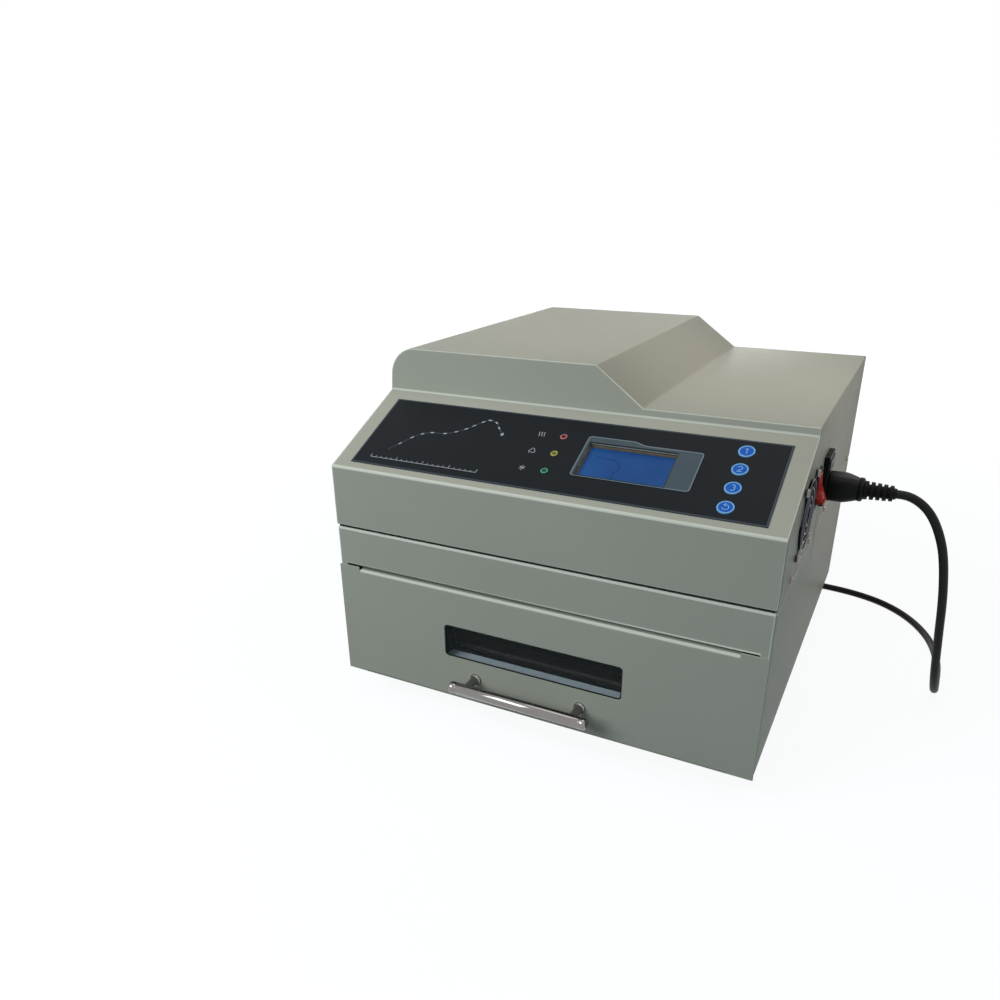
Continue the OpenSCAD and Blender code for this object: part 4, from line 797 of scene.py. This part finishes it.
def make_scale():
    """A plain time axis below the curve."""
    bm = bmesh.new()
    add_line(bm, [(AXIS_LEFT, AXIS_V), (AXIS_RIGHT, AXIS_V)], AXIS_LINE, on_panel, INK_LOW, INK_HIGH)
    for i in range(AXIS_PARTS + 1):
        u = AXIS_LEFT + (AXIS_RIGHT - AXIS_LEFT) * i / AXIS_PARTS
        top = AXIS_V + (TICK_SHORT if i % AXIS_LONG_EVERY else TICK_LONG)
        add_line(bm, [(u, AXIS_V), (u, top)], AXIS_LINE, on_panel, INK_LOW, INK_HIGH + INK_STEP)
    print_piece("curve_axis", bm, PRINT_PALE)


def frost_lines(v):
    for angle in (30, 90, 150):
        du, dv = (FROST_R * turn(math.radians(angle)) for turn in (math.cos, math.sin))
        yield [(SIGN_X - du, v - dv), (SIGN_X + du, v + dv)]


def fan_lines(v):
    for start in (90, 210, 330):
        du, dv = (BLADE_SIGN_AWAY * turn(math.radians(start)) for turn in (math.cos, math.sin))
        yield arc(SIGN_X + du, v + dv, BLADE_SIGN_R, start - 120, start + 120, 12)


def warm_air_lines(v):
    steps = 12
    for u in (SIGN_X - WAVE_PITCH, SIGN_X, SIGN_X + WAVE_PITCH):
        yield [(u + WAVE_SWING * math.sin(TAU * k / steps), v + WAVE_H * (k / steps - 0.5))
               for k in range(steps + 1)]


def make_symbols():
    """Plain signs beside the lamps, from the lowest up: frost, a fan and warm air."""
    bm = bmesh.new()
    for i, lines in enumerate((frost_lines, fan_lines, warm_air_lines)):
        for k, line in enumerate(lines(LAMP_V + i * LAMP_PITCH)):
            high = INK_HIGH + (INK_STEP * k if lines is frost_lines else 0)
            add_line(bm, line, SIGN_LINE, on_panel, INK_LOW, high)
    print_piece("lamp_signs", bm, PRINT_PALE)


def on_display(u, v, out):
    """A point from the lower left corner of the display's opening."""
    return on_panel(DISPLAY_X + u, DISPLAY_V + v, out)


def window_box(out):
    """Corners of the display's opening, moved out on all sides."""
    right, top = DISPLAY_W + out, DISPLAY_H + out
    return [(-out, -out), (right, -out), (right, top), (-out, top)]


def make_surround():
    """Grey surround of the display, with a light rim, and a dark line round the opening that is painted shade
    of the recess wall.
    """
    bm = bmesh.new()
    outline = soft_corners(SURROUND_OUTLINE, 3.0)
    add_plate_with_hole(bm, outline, window_box(0), on_display, SURROUND_LOW, SURROUND_HIGH)
    make_stand_in("surround_plate", "display_surround", bm)
    low, high = SURROUND_HIGH - 0.02, SURROUND_HIGH + 0.04
    bm = bmesh.new()
    add_loop(bm, soft_corners(SURROUND_RIM, 2.6), 0.9, on_display, low, high)
    print_piece("surround_rim", bm, SURROUND_EDGE, "display_grey")
    # Dark line round the opening: painted shade where the recess wall is in shadow.
    bm = bmesh.new()
    add_loop(bm, window_box(0.45), 0.8, on_display, low, high)
    print_piece("opening_painted_shade_line", bm, OVERLAY)


def make_display():
    """The screen in its frame, with a faint trace on it."""
    rounded_copy("display_module", 0.15)
    bm = bmesh.new()
    add_plate(bm, window_box(0.6), on_display, SCREEN_LOW - 0.02, SCREEN_HIGH)
    make_object("display_screen", bm, "root", "display_blue", make_screen())
    bm = bmesh.new()
    add_frame(bm, window_box(0.9), window_box(-0.9), on_display, SCREEN_HIGH - 0.1, SCREEN_HIGH + 1.5)
    make_object("screen_frame", bm, "root", SLOT_OF["display_module"], SCREEN_FRAME)
    bm = bmesh.new()
    trace = smooth_line([Vector(p) for p in TRACE_POINTS], 2)
    add_line(bm, trace, 0.55, on_display, SCREEN_HIGH - 0.02, SCREEN_HIGH + 0.05)
    make_object("display_trace", bm, "root", "display_blue", TRACE)


def make_bezels():
    """A raised ring round each lamp, from the lowest up."""
    low, high = OVERLAY_T, OVERLAY_T + BEZEL_T
    section = [(low, BEZEL_HOLE_R), (high - 0.12, BEZEL_HOLE_R), (high, BEZEL_HOLE_R + 0.15),
               (high + 0.1, (BEZEL_HOLE_R + BEZEL_R) / 2), (high, BEZEL_R - 0.25), (high - 0.2, BEZEL_R),
               (low, BEZEL_R)]
    for i, name in enumerate(BEZEL):
        bm = bmesh.new()
        centre = on_panel(LAMP_X, LAMP_V + i * LAMP_PITCH)
        add_lathe(bm, centre, PANEL_OUT, section, 48, aside=ACROSS, closed=True)
        bezel = make_object(name + "_bezel", bm, "root", SLOT_OF[name], BEZEL[name])
        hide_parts("lamp_collars")


# Centre lines of the keys' signs, from the keys' middles
KEY_SIGNS = {
    "key_1": [[(-1.3, 1.6), (0.2, 2.7)], [(0.2, 2.9), (0.2, -2.9)]],
    "key_2": [arc(0, 1.2, 1.6, 160, -40, 10) + [(-1.7, -2.6)], [(-1.9, -2.6), (1.8, -2.6)]],
    "key_3": [arc(-0.1, 1.35, 1.45, 140, -75, 10), arc(-0.1, -1.3, 1.6, 75, -140, 10)],
    "key_return": [arc(0, -0.2, 2.3, -160, 90, 14) + [(-0.9, 2.1)], [(-0.2, 3.5), (-1.7, 2.1), (-0.2, 0.7)]],
}


def make_key(name, centre):
    """A key cap with a light raised ring and its sign."""
    bm = bmesh.new()
    add_lathe(bm, centre, PANEL_OUT, KEY_PROFILE, 64, aside=ACROSS)
    cap = make_stand_in(name + "_cap", name, bm)
    cap.data.materials.append(KEY_RING)
    for face in cap.data.polygons:
        away = face.center - centre
        away -= PANEL_OUT * away.dot(PANEL_OUT)
        if away.length > (KEY_R - KEY_RING_W) * MM:
            face.material_index = 1

    def place(u, v, out):
        return centre + (ACROSS * u + PANEL_UP * v + PANEL_OUT * out) * MM

    bm = bmesh.new()
    for i, line in enumerate(KEY_SIGNS[name]):
        add_line(bm, line, 0.75, place, 0.9, 1.03 + 0.005 * i)
    make_object(name + "_sign", bm, BODY_OF[name], SLOT_OF[name], KEY_RING)


make_overlay()
make_surround()
make_curve()
make_scale()
make_symbols()
make_display()
make_bezels()
for i, name in enumerate(KEY_SIGNS):
    make_key(name, on_panel(KEY_X, KEY_V - i * KEY_PITCH))


# ---- Handle and window ----

def make_handle():
    """Turned bar with two turned posts."""
    bm = bmesh.new()
    start = at(BAR_X - BAR_L / 2, BAR_Y, BAR_Z)
    bar_profile = BAR_END + [(BAR_L - d, r) for d, r in reversed(BAR_END)]
    add_lathe(bm, start, ACROSS, bar_profile, 48)
    for side in (-1, 1):
        foot = at(BAR_X + side * POST_PITCH / 2, POST_FOOT_Y, BAR_Z)
        add_lathe(bm, foot, -BACKWARD, POST_PROFILE)
    make_stand_in("handle_turned", "handle_bar", bm, 50)


def in_window(u, v, y):
    """A point from the middle of the window's lower edge, at the depth y."""
    return at(WINDOW_X + u, y, WINDOW_Z0 + v)


def add_window_ring(bm, out, width, low, high):
    """Adds a ring whose outer edge stands out from the window's."""
    edges = []
    for move, radius in ((out, WINDOW_R), (out - width, WINDOW_R - width)):
        half = WINDOW_W / 2 + move
        edges.append(round_box(-half, -move, half, WINDOW_H + move, radius))
    add_frame(bm, *edges, in_window, low, high)


def make_window_seal():
    """Thin black seal on the glass, along the edge of the window."""
    bm = bmesh.new()
    add_window_ring(bm, 0, SEAL_W, GLASS_Y - 0.6, GLASS_Y - 0.02)
    make_object("window_seal", bm, "drawer", SLOT_OF["feet"], SEAL)


def make_tunnel_gasket():
    """Black gasket in the tunnel behind the glass, at its inner end."""
    low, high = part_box("drawer_inner_panel")
    front, back = (low.y - FRONT_Y) / MM, (high.y - FRONT_Y) / MM
    start = front + TUNNEL_BARE * (back - front)
    bm = bmesh.new()
    add_window_ring(bm, TUNNEL_STEP - GASKET_GAP, GASKET_W, start, back + GASKET_PROUD)
    make_object("tunnel_gasket", bm, "drawer", SLOT_OF["feet"], SEAL)


def make_inner_panel():
    """The inner panel, with the sides of its tunnel painted darker as shade."""
    panel = rounded_copy("drawer_inner_panel", 0.2)
    panel.data.materials.append(PAINTED_TUNNEL_SHADE)
    middle = at(WINDOW_X, 0, 0).x
    reach = (WINDOW_W / 2 + TUNNEL_STEP + 1) * MM
    for face in panel.data.polygons:
        # The tunnel's side faces get the painted shade.
        if abs(face.normal.x) > 0.5 and abs(face.center.x - middle) < reach:
            face.material_index = 1


make_handle()
make_window_seal()
make_tunnel_gasket()
make_inner_panel()


# ---- Fans ----

def fan_ring(out, across, up, radius, steps):
    """Points round a place of the side fan, out from the outer face of the wall."""
    centre = at(HALF_W + out, FAN_Y + across, FAN_Z + up)
    return circle(centre, BACKWARD, Vector((0, 0, 1)), radius, steps)


def make_guard():
    """Rings, and four bars under them that end in loops round the screws."""
    bm = bmesh.new()
    for i in range(1, GUARD_RINGS + 1):
        radius = GUARD_R * (i + 0.25) / (GUARD_RINGS + 0.25)
        add_tube(bm, fan_ring(GUARD_RING_OUT, 0, 0, radius, 72), WIRE_R, closed=True)
    screw_r = FAN_SIZE * FAN_HOLE_SHARE / math.sqrt(2)
    for k in range(4):
        across, up = math.cos(math.radians(45 + 90 * k)), math.sin(math.radians(45 + 90 * k))
        bar = []
        for r in (GUARD_R * 0.22, screw_r - GUARD_LOOP_R):
            bar.append(at(HALF_W + GUARD_BAR_OUT, FAN_Y + r * across, FAN_Z + r * up))
        add_tube(bm, bar, WIRE_R)
        loop = fan_ring(GUARD_BAR_OUT, screw_r * across, screw_r * up, GUARD_LOOP_R, 28)
        add_tube(bm, loop, WIRE_R, closed=True)
    make_stand_in("fan_guard_wires", "side_fan_guard", bm, 60)


def blade_outline(size, share, radius):
    """Section of a blade: pairs of (angle from its root, rise along the axis)."""
    pitch = math.radians(PITCH_AT_HUB - PITCH_FALL * share)
    chord = size * (CHORD_AT_HUB + CHORD_RISE * share)
    upper, lower = [], []
    for j in range(CHORD_STEPS + 1):
        c = j / CHORD_STEPS - 0.5
        camber = BLADE_CAMBER * chord * (0.25 - c * c) * 4
        half_t = BLADE_HALF_T * math.sqrt(max(0.06, 1 - 4 * c * c))
        for side, offset in ((upper, camber + half_t), (lower, camber - half_t)):
            run = c * chord * math.cos(pitch) - offset * math.sin(pitch)
            rise = c * chord * math.sin(pitch) + offset * math.cos(pitch)
            side.append((BLADE_SWEEP * share + run / radius, rise))
    return upper + lower[::-1]


def make_rotor(node, centre, along, across, size):
    """Hub and curved blades. The centre is where the axis enters the frame's closed side."""
    other = along.cross(across)
    hub_r, tip_r = size * HUB_SHARE, size * TIP_SHARE - TIP_GAP
    root_r = hub_r - BLADE_ROOT
    hub = [(3.5, hub_r - 0.5), (4.0, hub_r), (FAN_DEPTH - 3.2, hub_r), (FAN_DEPTH - 2.0, hub_r - 0.5),
           (FAN_DEPTH - 1.6, hub_r - 1.6), (FAN_DEPTH - 1.9, hub_r - 3.0)]
    bm = bmesh.new()
    add_lathe(bm, centre, along, [(0.4, 1.5), (3.5, 1.5)], 24, aside=across)
    add_lathe(bm, centre, along, hub, 56, aside=across)
    for k in range(BLADES):
        rings = []
        for i in range(SPAN_STEPS + 1):
            share = i / SPAN_STEPS
            r = root_r + (tip_r - root_r) * share
            ring = []
            for angle, rise in blade_outline(size, share, r):
                a = TAU * k / BLADES + angle
                ring.append(centre + ((across * math.cos(a) + other * math.sin(a)) * r
                                      + along * (FAN_DEPTH / 2 + 1 + rise)) * MM)
            rings.append(ring)
        add_rings(bm, rings)
    make_stand_in(node + "_turned", node, bm, 45)


def make_fans():
    rounded_copy("side_fan_frame", 0.5)
    rounded_copy("exhaust_fan_frame", 0.5)
    make_guard()
    side_start = at(HALF_W - WALL_T - FAN_DEPTH, FAN_Y, FAN_Z)
    make_rotor("side_fan_rotor", side_start, ACROSS, BACKWARD, FAN_SIZE)
    low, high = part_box("exhaust_fan_frame")
    middle = (low + high) / 2
    exhaust_start = Vector((middle.x, low.y, middle.z))
    make_rotor("exhaust_fan_rotor", exhaust_start, BACKWARD, ACROSS, EXHAUST_SIZE)


make_fans()


# ---- Switch, inlet, connector and plug ----

def on_rocker(across, up, out):
    """A point of the rocker at rest: across, up from its middle, out of its dished face."""
    face_x = ROCKER_OUT - ROCKER_DIP + ROCKER_DIP * abs(up) / ROCKER_HALF + out
    x = face_x * math.cos(ROCKER_TILT) - up * math.sin(ROCKER_TILT)
    z = face_x * math.sin(ROCKER_TILT) + up * math.cos(ROCKER_TILT)
    return at(ROCKER_X + x, SWITCH_Y + across, SWITCH_Z + z)


def make_switch():
    """Housing and rocker, with a line for on and a ring for off."""
    rounded_copy("switch_housing", 0.5)
    rounded_copy("switch_rocker", 0.6, segments=3)
    bm = bmesh.new()
    add_line(bm, [(0, 3.6), (0, 8.2)], 0.9, on_rocker, MARK_LOW, MARK_HIGH)
    add_loop(bm, arc(0, -5.8, 2.2, 0, 360, 28)[:-1], 0.8, on_rocker, MARK_LOW, MARK_HIGH)
    make_object("rocker_marks", bm, "rocker", "switch_red", MARK)


def connector_section(x, half_y, half_z, corner):
    outline = round_box(-half_y, -half_z, half_y, half_z, corner, 7)
    return [at(x, INLET_Y + u, SOCKET_Z + v) for u, v in outline]


def relief_profile():
    """Ribbed strain relief, from the collar to the lead."""
    profile = [(0, 4.6)]
    for i in range(RIBS):
        start, r = RIB_START + i * RIB_PITCH, RIB_R - RIB_TAPER * i
        profile += [(start + 0.05, 5.0), (start + 0.15, r - 0.3), (start + 0.4, r), (start + 2.9, r - 0.15),
                    (start + 3.2, r - 0.5), (start + 3.3, 5.0 - 0.1 * i)]
    end = CONNECTOR_L - COLLAR_X
    return profile + [(end - 0.3, 4.4), (end, 4.1)]


def make_connector():
    """Appliance connector: nose in the inlet, body, collar and strain relief."""
    nose_x = HALF_W + INLET_PROUD - NOSE_L + SEAT_GAP
    nose = [(nose_x, NOSE_TIP), (nose_x + 0.4, NOSE), (CONNECTOR_X + 0.2, NOSE)]
    bm = bmesh.new()
    add_rings(bm, [connector_section(x, *size) for x, size in nose])
    add_rings(bm, [connector_section(CONNECTOR_X + d, *size) for d, *size in CONNECTOR_BODY])
    collar_start = at(CONNECTOR_X + COLLAR_X, INLET_Y, SOCKET_Z)
    add_lathe(bm, collar_start, ACROSS, COLLAR, 48)
    add_lathe(bm, collar_start, ACROSS, relief_profile(), 36)
    return make_stand_in("connector_moulded", "mains_connector", bm, 42)


def make_plug():
    """Round plug with its ribbed relief, and its two pins."""
    start = at(TAIL_END_X, COIL_Y + COIL_MIDDLE_R, COIL_TOP_Z)
    profile = [(0, 4.1), (0.2, 4.4)]
    for i in range(PLUG_RIBS):
        a, r = i * PLUG_RIB_PITCH, PLUG_RIB_R + i * PLUG_RIB_RISE
        profile += [(a + 0.4, 4.5), (a + 0.5, r - 0.3), (a + 0.8, r), (a + 2.5, r), (a + 2.8, r - 0.3),
                    (a + 2.9, 4.5)]
    bm = bmesh.new()
    add_lathe(bm, start, ACROSS, profile + PLUG_BODY, 56)
    body = make_stand_in("plug_moulded", "mains_plug", bm, 42)
    bm = bmesh.new()
    for side in (-1, 1):
        add_lathe(bm, start + BACKWARD * side * PIN_ASIDE * MM, ACROSS, PIN_PROFILE, 28)
    pins = make_object("plug_pins", bm, "root", SLOT_OF["mains_plug"], SCREW, 42)
    return body, pins


def make_coil_tie():
    """Flat band round the turns of the coil."""
    def place(u, v, out):
        return at(COIL_X + u, COIL_Y + out, v)

    low, high = COIL_IN_R - CORD_D / 2, COIL_OUT_R + CORD_D / 2
    top = COIL_LOW_Z + CORD_D * 1.5
    outer = round_box(low - TIE_T, 0.2, high + TIE_T, top + TIE_T, 2.6)
    inner = round_box(low - 0.1, 1.0, high + 0.1, top + 0.1, 1.8)
    bm = bmesh.new()
    add_frame(bm, outer, inner, place, -TIE_HALF_W, TIE_HALF_W)
    return make_object("coil_tie", bm, "root", "cord_black", BLACK, 50)


make_switch()
rounded_copy("mains_inlet", 0.6)
rounded_copy("fuse_drawer", 0.3)
connector_piece = make_connector()
plug_piece, pins_piece = make_plug()
tie_piece = make_coil_tie()


# ---- Stage ----

FLOOR_HALF = 12.0
FLOOR_COLOR = (0.10, 0.13, 0.15, 1)
FLOOR_GLOW = (0.92, 1.0)         # shown to the camera, beside the object and far from it
FLOOR_REACH = (0.4, 1.8)         # distances from the middle between which the glow rises
AMBIENT = (0.015, 0.34)          # strength of the room on its dark and on its bright side
DARK_FROM = -0.5                 # how far a direction faces the bright side where the dark ends
BRIGHT_SIDE = (-0.5, -0.45, 0.74)
ROOM_LOW, ROOM_HIGH = (0.62, 0.92, 1.0, 1), (1.0, 0.97, 0.88, 1)
ROOM_HIGH_FROM = 0.8

# Area lights: place, target, size, power, colour, spread in degrees
LIGHTS = {
    "key_light": ((0.27, -0.05, 1.68), (0, 0, 0.2), (1.2, 1.2), 5.9, (1.0, 0.955, 0.94), 180),
    "front_light": ((-0.75, -1.2, 0.95), (0, 0, 0.2), (1.0, 0.8), 13.6, (0.87, 0.965, 1.0), 180),
    "side_light": ((0.6, 0.05, 0.62), (0.186, 0.05, 0.26), (0.2, 0.3), 0.04, (1.0, 0.86, 0.55), 50),
    "back_light": ((-0.5, 1.7, 0.2), (0, 0, 0.15), (1.0, 0.3), 8.0, (1.0, 0.98, 0.96), 180),
    "ramp_light": ((0.55, 0.08, 1.0), (0, 0.08, 0.3), (0.15, 0.35), 0.065, (1.0, 0.95, 0.9), 30),
    "low_light": ((0.75, -0.45, 0.25), (0.186, -0.1, 0.05), (0.3, 0.3), 0.035, (0.1, 0.75, 1.0), 60),
}


def seen_by_camera(nodes):
    """1 for rays from the camera and for what metal and glass show of them, else 0."""
    path = nodes.node("ShaderNodeLightPath")
    shown = path.outputs["Is Camera Ray"]
    for other in ("Is Glossy Ray", "Is Transmission Ray"):
        either = nodes.node("ShaderNodeMath", operation="MAXIMUM")
        nodes.link(shown, either.inputs[0])
        nodes.link(path.outputs[other], either.inputs[1])
        shown = either.outputs[0]
    return shown


def make_floor_material():
    """Dull, with a glow for the camera that is a little weaker beside the object."""
    material = bpy.data.materials.new("floor_pale")
    material.use_nodes = True
    material.node_tree.nodes.clear()
    nodes = Nodes(material.node_tree)
    distance = nodes.node("ShaderNodeVectorMath", operation="LENGTH")
    nodes.link(nodes.node("ShaderNodeNewGeometry").outputs["Position"], distance.inputs[0])
    strength = nodes.node("ShaderNodeMath", operation="MULTIPLY")
    nodes.link(seen_by_camera(nodes), strength.inputs[0])
    nodes.link(nodes.between(distance.outputs["Value"], *FLOOR_GLOW, *FLOOR_REACH), strength.inputs[1])
    glow = nodes.node("ShaderNodeEmission")
    nodes.link(strength.outputs[0], glow.inputs["Strength"])
    diffuse = nodes.node("ShaderNodeBsdfDiffuse")
    diffuse.inputs["Color"].default_value = FLOOR_COLOR
    both = nodes.node("ShaderNodeAddShader")
    nodes.link(diffuse.outputs[0], both.inputs[0])
    nodes.link(glow.outputs[0], both.inputs[1])
    nodes.link(both.outputs[0], nodes.node("ShaderNodeOutputMaterial").inputs["Surface"])
    return material


def make_floor():
    """Pale floor that keeps the object's shadow."""
    bm = bmesh.new()
    bmesh.ops.create_grid(bm, x_segments=1, y_segments=1, size=FLOOR_HALF)
    floor = add_mesh("floor", bm, make_floor_material())


def make_world():
    """White for the camera, and for the object a soft room, warm above and brighter on one side."""
    world = bpy.data.worlds.new("studio")
    bpy.context.scene.world = world
    world.use_nodes = True
    background = world.node_tree.nodes["Background"]
    nodes = Nodes(world.node_tree)
    direction = nodes.node("ShaderNodeTexCoord").outputs["Generated"]
    shown = seen_by_camera(nodes)
    split = nodes.node("ShaderNodeSeparateXYZ")
    nodes.link(direction, split.inputs[0])
    room = nodes.ramp(split.outputs["Z"], [(0.0, ROOM_LOW), (ROOM_HIGH_FROM, ROOM_HIGH)])
    color = nodes.node("ShaderNodeMix", data_type="RGBA")
    nodes.link(shown, color.inputs["Factor"])
    nodes.link(room, color.inputs[6])
    color.inputs[7].default_value = (1, 1, 1, 1)
    nodes.link(color.outputs[2], background.inputs["Color"])
    facing = nodes.node("ShaderNodeVectorMath", operation="DOT_PRODUCT")
    nodes.link(direction, facing.inputs[0])
    facing.inputs[1].default_value = BRIGHT_SIDE
    room_level = nodes.between(facing.outputs["Value"], *AMBIENT, DARK_FROM, 1.0)
    level = nodes.node("ShaderNodeMapRange")
    nodes.link(shown, level.inputs["Value"])
    nodes.link(room_level, level.inputs["To Min"])
    nodes.link(level.outputs["Result"], background.inputs["Strength"])


def make_light(name, place, target, size, power, color, spread):
    data = bpy.data.lights.new(name, "AREA")
    data.spread = math.radians(spread)
    data.shape = "RECTANGLE"
    data.size, data.size_y = size
    data.energy = power
    data.color = color
    lamp = add_object(name, data)
    lamp.location = place
    lamp.rotation_euler = (Vector(target) - Vector(place)).to_track_quat("-Z", "Y").to_euler()


make_floor()
make_world()
for name, settings in LIGHTS.items():
    make_light(name, *settings)
bpy.context.scene.view_settings.view_transform = "Standard"

at(*LEAD_ROUTE[0])
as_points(lead_path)
